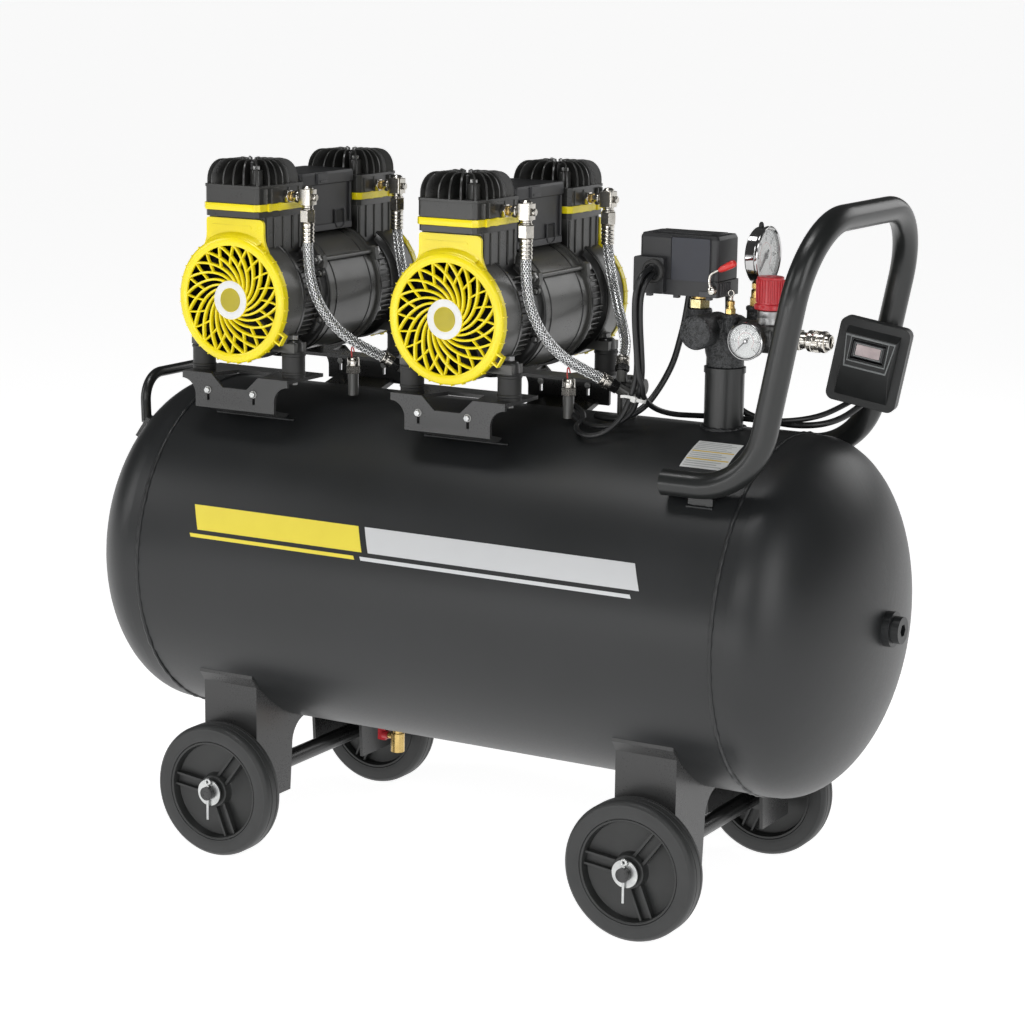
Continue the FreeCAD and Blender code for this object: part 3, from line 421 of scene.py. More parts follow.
# each lead: diameter and the points of its route
ROUTES = {
    "pump_lead_right": (6, [
        (213.5, -50, 689.5), (214, -66, 686), (209.5, -71, 668), (208, -68, 640), (207.5, -62, 610),
        (206.5, -56, 580), (199, -51, 555), (190, -50, 536), (172, -57, 523.5), (150, -58, 521),
        (128, -50, 524), (108, -34, 530)]),
    "pump_lead_left": (6, [
        (208.2, -50, 689), (207.5, -65, 686), (203, -69, 667), (201.5, -66, 640), (201, -61, 610),
        (200, -57, 580), (193, -57, 556), (188, -66, 536), (176, -79, 520), (158, -84, 514.5),
        (141, -77, 517), (131, -64, 521.5), (134, -48, 526.5), (121, -36, 536), (102, -26, 538)]),
    "power_lead": (7, [
        (228, 8, 667), (224.3, 8, 638.9), (218.8, 6, 612.8), (214.3, 2, 590.1), (208, -6, 571),
        (202.5, -17, 555.7), (197, -28, 544), (187, -37, 535), (172, -41, 529.5), (155, -38, 527.5),
        (138, -30, 528)]),
    "control_lead": (6, [
        (210.7, -50, 695), (211, -70, 693), (206, -77, 674), (204.5, -75, 645), (204, -68, 612),
        (205, -64, 581), (208.5, -58.5, 569), (205.3, -51.5, 556), (208, -30, 542), (218, -8, 534),
        (232, 14, 531), (252, 29, 530), (278, 33, 530), (306, 36, 529), (330, 47, 529.5),
        (350, 66, 532), (364, 88, 537.5), (373, 117.6, 545.8)]),
    "control_cable": (7, [
        (262, 14, 675.5), (262, 31, 672), (262.5, 33, 652), (262, 33.5, 630), (261, 33, 606),
        (261, 33.5, 582), (263, 36, 560), (271, 41, 541), (287, 46, 531), (305, 53, 527),
        (323, 57, 524), (341, 62, 523.5), (357, 73, 524.5), (369, 88, 528), (379, 103, 535),
        (386.8, 118.8, 544.6)]),
}
HOSES = {
    "front": [(69, -93, 700), (69.3, -93, 677), (72.5, -90, 650), (80, -82, 625), (92, -69, 602),
              (108, -53, 584.5), (131, -30, 568.5)],
    "rear": [(69, 93, 700), (73, 91.5, 676), (83, 85, 650), (97, 71, 628), (114, 50, 610), (130, 26, 598),
             (137, 5, 586)],
}
HOSE_R = 6.0
# wires each way, radians for each millimetre of run, and how far a wire goes over and under the others
BRAID_WIRES, BRAID_TWIST, BRAID_WAVE = 12, 0.105, 0.16
# how each hose runs into its check valve: direction, and the heights where the crimp and the nut end
PORTS = {"front": ((8.2, 7, -6.4), 9, 19), "rear": ((2, -5, -9), 7, 14)}


def spline_of(name, points, radius, resolution=10):
    curve = bpy.data.curves.new(name, "CURVE")
    curve.dimensions = "3D"
    spline = curve.splines.new("NURBS")
    spline.points.add(len(points) - 1)
    for point, co in zip(spline.points, points):
        point.co = (co[0] * 0.001, co[1] * 0.001, co[2] * 0.001, 1)
    spline.order_u = 3
    spline.use_endpoint_u = True
    spline.resolution_u = resolution
    curve.bevel_depth = radius * 0.001
    curve.bevel_resolution = 5
    curve.use_fill_caps = True
    return bpy.data.objects.new(name, curve)


def spline_points(points, resolution=10):
    """The points that the route's NURBS curve passes through, in metres."""
    probe = spline_of("probe", points, 0.0, resolution)
    mesh = bpy.data.meshes.new_from_object(probe)
    line = [v.co.copy() for v in mesh.vertices]
    bpy.data.objects.remove(probe)
    bpy.data.meshes.remove(mesh)
    return line


def walk(line, step):
    """Even steps along a line of points, as (point, tangent)."""
    lengths = [0.0]
    for a, b in zip(line, line[1:]):
        lengths.append(lengths[-1] + (b - a).length)
    count = max(2, round(lengths[-1] / step))
    out, k = [], 0
    for i in range(count + 1):
        s = lengths[-1] * i / count
        while k < len(line) - 2 and lengths[k + 1] < s:
            k += 1
        span = lengths[k + 1] - lengths[k]
        t = (s - lengths[k]) / span if span else 0.0
        out.append((line[k].lerp(line[k + 1], t), (line[k + 1] - line[k]).normalized()))
    return out


def make_leads():
    for name, (diameter, points) in ROUTES.items():
        piece = spline_of("lead_" + name, points, diameter / 2)
        piece.data.materials.append(cable_black)
        scene.collection.objects.link(piece)
        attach(piece, "chassis")
        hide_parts(name)


def make_hose(side, end):
    """A hose of crossing wire bundles over a dark tube; the tube's black is partly its own dark rubber and
    partly painted shade in the gaps between the wires.
    """
    route = [(x + PUMPS[side], y, z) for x, y, z in HOSES[end]]
    line = [p * 1000 for p in spline_points(route)]
    b = Build()
    fine = walk(line, 1.3)
    points = [p for p, t in fine]
    # inner tube in the near-black finish: partly its own dark colour, partly painted shade seen between the
    # braid wires
    b.sweep(points, circle(HOSE_R - 0.75, 16), 1)
    ref = fine[0][1].cross(X).normalized()
    frames = []
    for p, tangent in fine:
        ref = (ref - tangent * ref.dot(tangent)).normalized()
        frames.append((p, ref, tangent.cross(ref)))
    turn = (points[1] - points[0]).length * BRAID_TWIST
    for hand in (1, -1):
        for k in range(BRAID_WIRES):
            strand = []
            for i, (p, u, v) in enumerate(frames):
                angle = hand * i * turn + 2 * pi * k / BRAID_WIRES
                wave = sin(i * turn * BRAID_WIRES + (0 if hand > 0 else pi) + k * pi)
                out = u * cos(angle) + v * sin(angle)
                strand.append((out, p + out * (HOSE_R - 0.36 + BRAID_WAVE * wave)))
            verts = []
            for i, (out, centre) in enumerate(strand):
                j = min(i + 1, len(strand) - 1)
                h = max(j - 1, 0)
                across = (strand[j][1] - strand[h][1]).normalized().cross(out).normalized()
                verts += [centre - across * 0.56 - out * 0.2, centre - across * 0.3 + out * 0.24,
                          centre + across * 0.3 + out * 0.24, centre + across * 0.56 - out * 0.2]
            faces = []
            for i in range(len(strand) - 1):
                for q in range(4):
                    a, c = i * 4 + q, i * 4 + (q + 1) % 4
                    faces.append((a, c, c + 4, a + 4))
            last = (len(strand) - 1) * 4
            faces += [(0, 3, 2, 1), (last, last + 1, last + 2, last + 3)]
            b.add(verts, faces, 0)
    name = "hose_%s_%s" % (end, side)
    piece = b.done("braided_" + name, "chassis", "braid", [braid_wire, painted_shade_black], replaces=[name],
                   angle=50)


def make_hose_fittings():
    """Crimp sleeves, nuts and elbows at both ends of the four hoses."""
    b = Build()
    for x0 in PUMPS.values():
        for end, sign in (("front", -1), ("rear", 1)):
            at = upright(x0 + 69, sign * 93)
            profile = [(6.2, 700), (7.0, 700), (7.4, 700.5)]
            for k in range(4):
                z = 702.5 + 4.4 * k
                profile += [(7.4, z), (6.75, z + 0.7), (6.75, z + 1.7), (7.4, z + 2.4)]
            profile += [(7.4, 721), (6.6, 722)]
            b.lathe(profile, 0, at, 32)
            b.hexagon(16, 722, 736.5, 0, at, 1.1)
            b.lathe([(0, 736.5), (7.0, 736.5), (7.2, 737.5), (6.2, 738.4), (6.2, 740), (6.8, 740.6),
                     (6.8, 742), (0, 742)], 0, at, 28)
            b.prism(rounded(8.0, 7.6, 2.2), 741.5, 759, 0, upright(x0 + 68.6, sign * 93))
            b.lathe([(0, -1), (5.4, -1), (6.4, 0), (6.4, 1.2), (4.2, 3.6), (0, 4.2)], 0,
                    upright(x0 + 69, sign * 93, 759), 28)
            out = rightward(x0 + 36, sign * 93, 750)
            b.rod(3.9, 0, 25, 0, out, 20)
            b.hexagon(13, 4.2, 10.2, 0, out, 0.8)
            b.lathe([(0, 10.2), (5.2, 10.2), (5.6, 11), (5.6, 13.5), (5.0, 14.4), (4.2, 14.4)], 1, out, 24)
            b.lathe([(4.2, 17.4), (6.4, 17.4), (6.9, 18.2), (6.9, 22), (6.2, 23), (4, 23)], 0, out, 24)
            b.lathe([(0, 41), (3.4, 41), (4.2, 41.8), (4.2, 44), (3.2, 44.8), (0, 44.8)], 0, out, 20)
            way, crimp, nut = PORTS[end]
            low = facing(Vector(HOSES[end][-1]) + X * x0, way, Z)
            b.lathe([(6.2, -3), (7.0, -3), (7.4, -2.4), (7.4, 0.5), (6.8, 1.2), (6.8, 2.4), (7.4, 3.1),
                     (7.4, crimp)], 0, low, 32)
            b.hexagon(14, crimp, nut, 2, low, 0.9)
    b.done("hose_end_fittings", "chassis", "nickel", [nickel, brass, black_oxide], bevel=0.25,
           replaces=["hose_fittings"], segments=1)


make_leads()
for pump_side in PUMPS:
    for hose_end in HOSES:
        make_hose(pump_side, hose_end)
make_hose_fittings()


# ---------------------------------------------------------------- pumps
SHAFT_Z = 635.7
GRILLE_FACE = 144.6
GRILLE_R = 70.75
HUB_R, RIB_END_R, BRANCH_END_R = 19.5, 61.5, 38.5
RIBS, KNURLS = 20, 32


def polar(r, degrees, z=0.0):
    a = radians(degrees)
    return (r * cos(a), r * sin(a), z)


def add_grille(b, at):
    """Fan cover: rounded rim, two sets of crossing spiral ribs, a hub badge and a neck plate."""
    rim = [(60.2, -3.5), (60.4, -1.2), (61.6, -0.3), (64, 0), (66.5, -0.1), (69, -0.9), (70.4, -2.4),
           (GRILLE_R, -4), (GRILLE_R, -10.4), (68.6, -10.4), (68.4, -4.5), (61.5, -4.5)]
    b.lathe(rim, 0, at, 96, closed=True)
    section = [(-1.3, -5.2), (1.3, -5.2), (1.35, -1.3), (0.95, -0.35), (0, 0), (-0.95, -0.35),
               (-1.35, -1.3)]
    thin = [(-0.95, -4.6), (0.95, -4.6), (1.0, -1.0), (0.6, -0.3), (0, 0), (-0.6, -0.3), (-1.0, -1.0)]
    for k in range(RIBS):
        spiral = []
        for i in range(15):
            r = HUB_R + (RIB_END_R - HUB_R) * i / 14
            spiral.append(polar(r, 86.7 + 18 * k - 60.4 * log(60.3 / r), -0.7 - 0.5 * (r / RIB_END_R)))
        b.sweep(spiral, section, 0, at, up=Z)
        branch = []
        for i in range(7):
            t = i / 6
            branch.append(polar(RIB_END_R + (BRANCH_END_R - RIB_END_R) * t, 88.4 + 18 * k + 6 * t, -1.5))
        b.sweep(branch, thin, 0, at, up=Z)
    b.lathe([(0, -4), (21.9, -4), (21.9, -0.6), (21.4, -0.1), (0, -0.1)], 0, at, 64)
    b.lathe([(13.5, -0.3), (13.5, 0.35), (13.9, 0.6), (21.0, 0.6), (21.5, 0.3), (21.5, -0.3)], 1, at, 64,
            closed=True)
    b.lathe([(0, 0.25), (12.0, 0.3), (12.9, 0.2), (13.1, -0.2), (0, -0.3)], 2, at, 48)
    for k in range(KNURLS):
        angle = 90 + 11.25 * (k + 0.5)
        if abs((angle - 90 + 180) % 360 - 180) < 38:
            continue
        turn = at @ spun(angle)
        b.prism(wedge(GRILLE_R - 0.6, 0.65, GRILLE_R + 1.3, 0.45), -10.3, -3.0, 0, turn)
    loop = at @ spun(-31.7)
    for v in (-6.6, 4.8):
        b.box((GRILLE_R - 1.0, v, -9.6), (GRILLE_R + 8.2, v + 1.8, -2.6), 0, loop)
    b.box((GRILLE_R + 6.6, -4.9, -9.6), (GRILLE_R + 8.2, 4.9, -2.6), 0, loop)
    plate = [polar(68.0, 47.4 + (132.6 - 47.4) * i / 24)[:2] for i in range(24, -1, -1)]
    plate += [(46, 50), (43.4, 56), (40.6, 62), (39, 67), (38.5, 72)]
    plate += [(32.5 + 6 * cos(a), 84 + 6 * sin(a)) for a in (radians(15 * i) for i in range(7))]
    plate += [(-35.5 + 3 * cos(a), 87 + 3 * sin(a)) for a in (radians(90 + 18 * i) for i in range(6))]
    plate += [(-38.5, 72), (-39, 67), (-40.6, 62), (-43.4, 56), (-46, 50)]
    b.prism(plate, -13.2, -9.6, 0, at)
    b.lathe([(66.5, -1.6), (70.2, -2.6), (72.0, -4.6), (73.6, -8.0), (75.4, -9.7), (66.5, -9.7)], 0, at, 28,
            closed=True, start=61, sweep=58)
    b.prism(rounded(27, 2.0, 1.9), -9.7, -9.1, 0, at @ moved(-5, 80.5))


def head_extent(angle):
    """How far a head's rounded crown reaches from its centre."""
    c, s = abs(cos(angle)) / 39.2, abs(sin(angle)) / 42.6
    return (c ** 14 + s ** 14) ** (-1 / 14)


def head_outline(grow, sign):
    half = [(32 + grow, 143 + grow), (36 + grow, 139 + grow), (40 + grow, 100), (40 + grow, 61 - grow),
            (36 + grow, 57 - grow)]
    pts = half + [(-x, y) for x, y in reversed(half)]
    return [(x, sign * y) for x, y in pts]


def add_head(b, x0, sign):
    """Cylinder head: a chamfered block under a crown of radial fins."""
    at = moved(x0, 0)
    for grow, low, high in ((-0.3, 728, 734.6), (-1.2, 734.3, 743.4), (0, 743, 760.2), (0.7, 760, 763.2)):
        b.prism(head_outline(grow, sign), low, high, 0, at)
    centre = moved(x0, sign * 100)
    for k in range(20):
        angle = radians(18 * k + 4)
        reach = head_extent(angle) - 0.4
        outline = [(12, 762), (reach, 762), (reach, 767)]
        for i in range(1, 9):
            t = radians(90 * i / 8)
            outline.append((reach - 17 * (1 - cos(t)), 767 + 23 * sin(t)))
        outline += [(13, 790), (12, 786)]
        turn = centre @ Matrix.Rotation(angle, 4, "Z") @ Matrix.Rotation(radians(90), 4, "X")
        b.prism(outline, -1.05, 1.05, 0, turn)
    b.lathe([(0, 762), (15.5, 762), (15.5, 786), (14.4, 787.3), (10.4, 787.3), (9.6, 786), (9.2, 779),
             (0, 778)], 0, centre, 40)
    for px in (-24, 24):
        for py in (-27, 27):
            post = centre @ moved(px, py)
            b.lathe([(0, 762), (7.2, 762), (6.8, 779), (6.2, 780), (0, 780)], 0, post, 24)
            b.hexagon(8, 780, 784.5, 1, post, 0.6)
    for y in (131, 121.5, 88, 68):
        for side in (1, -1):
            b.box((side * 35.8, sign * y - 1.1, 743.4), (side * 41, sign * y + 1.1, 759.5), 0, at)
    for side in (-1, 1):
        for y in (126, 112, 94, 76, 62):
            b.prism(rounded(1.1, 1.3, 0.8, 3), 690, 727, 0, at @ moved(side * 37.4, sign * y))


def add_band(b, x0, sign):
    at = moved(x0, 0)
    path = [(x, y, 738.8) for x, y in head_outline(0.4, sign)]
    b.sweep(path, [(-0.9, -3.9), (0.9, -3.9), (1.3, -3.2), (1.3, 3.2), (0.9, 3.9), (-0.9, 3.9)], 0, at,
            loop=True, up=Z)
    for side in (-1, 1):
        for y in (124, 104, 84):
            b.box((side * 39.4 - 1.3, sign * y - 3, 734.4), (side * 39.4 + 1.3, sign * y + 3, 743.2), 0, at)


def add_crankcase(b, x0, sign):
    """Small castings and bolts on a crankcase and its end of the drum."""
    face = outward(x0, 0, SHAFT_Z, sign)
    flange = [(62, 50.5), (71.6, 50.5), (73.4, 51.3), (73.6, 54.2), (72.2, 56), (68.6, 56.8), (64.4, 60.5),
              (62.6, 64), (61, 64)]
    b.lathe(flange, 0, face, 96, closed=True)
    b.lathe([(61.2, 92.5), (63.6, 93.5), (66.8, 97), (69.9, 99.5), (70.2, 103), (69.4, 104), (61.2, 104)],
            0, face, 96, closed=True)
    for k in range(8):
        turn = face @ spun(22.5 + 45 * k) @ moved(68.2, 0)
        b.lathe([(0, 55), (4.6, 55), (4.4, 60), (0, 60)], 0, turn, 16)
        b.hexagon(6, 60, 63.5, 1, turn, 0.5)
    for side in (-1, 1):
        for k in range(7):
            angle = 90 - side * (90 - (4 + 6 * k))
            turn = face @ spun(angle)
            b.prism(wedge(61, 0.9, 66.5, 0.6), 62, 83, 0, turn)
            turn = face @ spun(-angle if side > 0 else 360 - angle)
            b.prism(wedge(61, 0.9, 65.5, 0.6), 66, 92, 0, turn)
        lug = moved(x0 + side * 61, sign * 110)
        b.lathe([(0, 578.5), (10.8, 578.5), (11, 580), (10, 590), (8.4, 592), (0, 592)], 0, lug, 28)
        b.hexagon(10, 592, 598, 1, lug, 0.8)
        b.prism(oblong(4, 9), 588, 612, 0, moved(x0 + side * 55, sign * 112), 0.6)


def add_drum(b, x0):
    """Tie rods and drum seams on the motor drum."""
    face = outward(x0, 0, SHAFT_Z)
    for h in (-36, 36):
        b.lathe([(69.5, h - 1.6), (70.7, h - 1.0), (70.9, h), (70.7, h + 1.0), (69.5, h + 1.6)], 0, face,
                96)
    for side in (-1, 1):
        rod = outward(x0 + side * 60, 0, 677)
        b.rod(2.6, -62, 62, 0, rod, 16)
        for sign in (-1, 1):
            end = outward(x0 + side * 60, sign * 50, 677, sign)
            b.prism([(-7, -9), (6, -9), (7, -3), (5.4, 4.6), (0, 6.6), (-5.4, 4.6)], 0.5, 8, 0, end)
            b.hexagon(10, 8, 13, 1, end, 0.8)
            b.lathe([(0, 13), (2.5, 13), (2.5, 16.5), (0, 17)], 1, end, 14)


def add_terminal_box(b, x0):
    at = moved(x0, 0)
    b.prism([(x * 33.2 / 34, y) for x, y in rounded(33.2, 54.6, 3.2)], 710.5, 756.5, 0, at)
    b.prism(rounded(34.0, 55, 3.6), 757.3, 768.2, 0, at)
    # painted shade: a near-black band set into the seam between the box body and its lid
    b.prism(rounded(32.6, 53.6, 3.2), 756.2, 757.6, 1, at)
    b.prism(rounded(34.0, 55, 3.6), 768, 771, 0, at, 0.975)
    for side in (-1, 1):
        x = side * 34.0
        b.prism([(x - side * 1, -24.5), (x + side * 2.4, -23.5), (x + side * 2.4, -3), (x - side * 1, -2)],
                757.8, 770, 0, at)
        b.box((x + side * 2.4, -20, 759.5), (x + side * 3.2, -6, 762), 0, at)
        recess = facing((x0 + side * 33.3, 24.7, 716), (side, 0, 0), Z)
        b.sweep([(-9, 10.5, 0), (-9, -6, 0), (-6.4, -9.6, 0), (0, -11, 0), (6.4, -9.6, 0), (9, -6, 0),
                 (9, 10.5, 0)], keystone(1, -0.4, 0.7, 1.5), 0, recess, up=Z)
        # painted shade: a flat near-black patch stands for the shade inside the U recess
        b.prism(rounded(7.6, 9.4, 4), -0.2, 0.25, 1, recess)
        for y in (-44, -36, 46):
            b.box((x - side * 1.4, y - 1, 712), (x + side * 0.6, y + 1, 756), 0, at)
    saddle = keystone(34, 0, 34, 12)
    b.prism([(x, y * 8.3 - 49.6) for x, y in saddle], 704, 711, 0, at)


def make_pumps():
    covers, bands, heads, cases, boxes = (Build() for _ in range(5))
    for x0 in PUMPS.values():
        for sign in (-1, 1):
            add_grille(covers, outward(x0, sign * GRILLE_FACE, SHAFT_Z, sign))
            add_band(bands, x0, sign)
            add_head(heads, x0, sign)
            add_crankcase(cases, x0, sign)
        add_drum(cases, x0)
        add_terminal_box(boxes, x0)
    covers.done("fan_covers", "chassis", "yellow_plastic", [yellow, white_plastic, olive_disc],
                replaces=["fan_grilles"], angle=38)
    bands.done("head_straps", "chassis", "yellow_plastic", [yellow], replaces=["head_bands"], bevel=0.3,
               segments=1)
    heads.done("finned_heads", "chassis", "cast_black", [cast_black, steel], replaces=["cylinder_heads"],
               bevel=0.45)
    cases.done("crankcase_castings", "chassis", "cast_black", [cast_black, steel], bevel=0.3, segments=1)
    boxes.done("capacitor_boxes", "chassis", "black_plastic", [black_plastic, painted_shade_black],
               replaces=["terminal_boxes"], bevel=0.5)


make_pumps()


# ---------------------------------------------------------------- wheels
WHEEL_X, WHEEL_R, WHEEL_IN, WHEEL_WIDTH = 266.5, 76.7, 155.0, 29.0
FIRST_SPOKE, SPOKE_HALF = 53, 6.4


def make_wheel(name, x, sign):
    at = outward(x, sign * WHEEL_IN, WHEEL_R, sign)
    tyre = Build()
    edge = [(57.4, 27.3), (58.2, 28.3), (60, 28.6), (61.2, 29), (69.5, 29), (71, 28.7), (72.2, 28.9),
            (74.4, 27.6), (75.9, 25.4), (WHEEL_R, 22.4)]
    grooves = []
    for h in (19.2, 9.8):
        grooves += [(WHEEL_R, h + 0.9), (WHEEL_R - 0.9, h + 0.45), (WHEEL_R - 0.9, h - 0.45),
                    (WHEEL_R, h - 0.9)]
    tyre.lathe(edge + grooves + mirrored(edge, WHEEL_WIDTH), 0, at, 112, closed=True)
    tyre.done("tyre_" + name, "wheel_" + name, "tyre", [tyre_rubber], replaces=["tyre_" + name], angle=40)

    rim = Build()
    half = [(54.8, 27.6), (54.2, 26), (53.2, 17.6), (51.6, 16.6), (24, 16.4), (20.4, 17), (19.4, 18.2),
            (18.4, 27), (17.4, 28), (8.2, 28), (7.9, 27.6)]
    outline = [(57.3, 1.2), (57.3, 27.8), (56.4, 28.2)] + half + mirrored(half, WHEEL_WIDTH)
    rim.lathe(outline, 0, at, 96, closed=True)
    for k in range(3):
        for face in (1, -1):
            base = 16 if face > 0 else 13
            turn = at @ spun(FIRST_SPOKE + 120 * k)
            for v in (-SPOKE_HALF, SPOKE_HALF):
                low, high = sorted((base, base + face * 8.4))
                outline = [(14, v - 1.7), (54.6, v - 1.3), (54.6, v + 1.3), (14, v + 1.7)]
                rim.prism(outline, low, high, 0, turn)
            low, high = sorted((base, base + face * 3.2))
            rim.prism(wedge(18, 5.6, 54.2, 5.6), low, high, 0, turn)
    rim.done("rim_" + name, "wheel_" + name, "tyre", [rim_plastic], replaces=["rim_" + name], bevel=0.5,
             angle=35)


for wheel_end, wheel_sign in (("front", -1), ("rear", 1)):
    for wheel_side, wheel_x in (("left", -WHEEL_X), ("right", WHEEL_X)):
        make_wheel(wheel_end + "_" + wheel_side, wheel_x, wheel_sign)


# ---------------------------------------------------------------- control group
VALVE_Z = 650.0
DIAL_START, DIAL_SWEEP = 225, 270
FIGURES = ["0", "2", "4", "6", "8", "10", "12"]


def add_text(b, text, size, mat, at):
    """Flat figures centred on the local origin, facing local Z."""
    curve = bpy.data.curves.new("figures", "FONT")
    curve.body, curve.size, curve.extrude = text, size, 0.05
    curve.align_x, curve.align_y = "CENTER", "CENTER"
    curve.resolution_u = 3
    probe = bpy.data.objects.new("figures", curve)
    mesh = bpy.data.meshes.new_from_object(probe)
    b.add([v.co[:] for v in mesh.vertices], [list(p.vertices) for p in mesh.polygons], mat, at)
    bpy.data.objects.remove(probe)
    bpy.data.meshes.remove(mesh)


def dial_angle(step, steps):
    return DIAL_START - DIAL_SWEEP * step / steps


def add_dial(b, at, r, size, paper=1, ink=2):
    """A printed scale over 270 degrees: paper disc, ticks and figures."""
    b.rod(r, 0, 0.35, paper, at, 64)
    gaps = len(FIGURES) - 1
    steps = gaps * 5
    for k in range(steps + 1):
        long = k % 5 == 0
        inner = r * (0.80 if long else 0.86)
        half = r * (0.020 if long else 0.010)
        b.box((inner, -half, 0.3), (r * 0.94, half, 0.45), ink, at @ spun(dial_angle(k, steps)))
    for share, half, mat in ((0.80, 0.10, ink), (0.50, 0.12, ink + 1)):
        arc = [polar(r * share, dial_angle(k, 60), 0.4) for k in range(61)]
        b.sweep(arc, keystone(half, -0.1, half, 0.06), mat, at, up=Z)
    for k, figure in enumerate(FIGURES):
        add_text(b, figure, size, ink, at @ moved(*polar(r * 0.65, dial_angle(k, gaps), 0.42)))


def needle_outline(tail, tip, wide):
    return [(-tail, -wide * 0.9), (-tail * 0.3, -wide * 0.5), (0, -wide), (tip * 0.72, -wide * 0.42),
            (tip, -0.12), (tip, 0.12), (tip * 0.72, wide * 0.42), (0, wide), (-tail * 0.3, wide * 0.5),
            (-tail, wide * 0.9)]


def add_needle_and_glass(size, gauge, glass, at, pivot, needle, thick, hub, seg):
    b = Build()
    b.lathe(glass, 0, at, 64)
    b.done("dial_glass_" + size, "chassis", "gauge_case", [gauge_glass])
    b = Build()
    turn = pivot @ spun(DIAL_START)
    b.prism(needle_outline(*needle), 0, thick, 0, turn)
    b.lathe(hub, 0, turn, seg, closed=True)
    b.done("dial_needle_" + size, gauge + "_needle", "black_plastic", [print_black],
           replaces=[gauge + "_gauge_needle"])


def make_gauges():
    gauge_looks = [chrome, dial_white, print_black, red_plastic, brass]
    b = Build()
    at = rightward(300, 16, 709)
    b.lathe([(0, 0), (25.5, 0), (28.6, 0.8), (30, 2.4), (30, 11.2), (29.6, 11.6), (31.2, 12.2),
             (31.6, 13.4), (31.6, 15.4), (30.9, 16.2), (29.6, 16.5), (28.3, 15.6), (28.0, 12.5),
             (28.0, 11.4), (0, 11.4)], 0, at, 96)
    add_dial(b, rightward(311.5, 16, 709), 27.9, 6.4)
    b.rod(1.45, 3.4, -1, 0, rightward(312.2, 16, 709), 16)
    b.lathe([(4.4, -1), (4.4, 8.2), (4.0, 9)], 4, upright(306, 10, 672), 20)
    b.hexagon(11, 0, 6, 4, upright(306, 10, 674.5), 0.7)
    b.lathe([(0, 0), (2.6, 0), (2.9, 1), (2.5, 4.6), (1.2, 6.4), (0, 6.6)], 2, upright(306, 16, 738), 18)
    b.done("pressure_dial_large", "chassis", "gauge_case", gauge_looks, replaces=["tank_gauge"], angle=35)
    add_needle_and_glass(
        "large", "tank", [(0, 15.2), (20, 15.1), (28.3, 14.6), (28.3, 14.1), (20, 14.6), (0, 14.7)], at,
        rightward(312.6, 16, 709), (8, 22, 1.5), 0.7,
        [(1.58, -0.1), (3.4, -0.1), (3.4, 0.9), (3.0, 1.3), (1.58, 1.3)], 28)

    b = Build()
    at = outward(322, -40, 626.5)
    b.lathe([(0, 0), (15, 0), (17.8, 0.8), (19.4, 2.2), (19.6, 9.6), (18.2, 9.9)], 2, at, 80)
    b.lathe([(18.0, 8.4), (19.7, 9.4), (20.1, 10.0), (20.1, 11.2), (19.6, 11.9), (18.8, 12.1), (17.9, 11.5),
             (17.7, 9.4), (17.7, 8.3), (0, 8.3)], 0, at, 80)
    add_dial(b, outward(322, -48.4, 626.5), 17.6, 4.2)
    b.rod(1.15, 2.6, -1, 0, outward(322, -48.8, 626.5), 14)
    b.lathe([(5, -5), (5, 0.4)], 4, at, 20)
    b.done("pressure_dial_small", "chassis", "gauge_case", gauge_looks, replaces=["outlet_gauge"], angle=35)
    add_needle_and_glass(
        "small", "outlet", [(0, 11.3), (12, 11.2), (17.9, 10.8), (17.9, 10.3), (12, 10.7), (0, 10.8)], at,
        outward(322, -49.6, 626.5), (5, 14, 1.0), 0.5,
        [(1.3, -0.1), (2.6, -0.1), (2.6, 0.7), (2.2, 1.0), (1.3, 1.0)], 24)


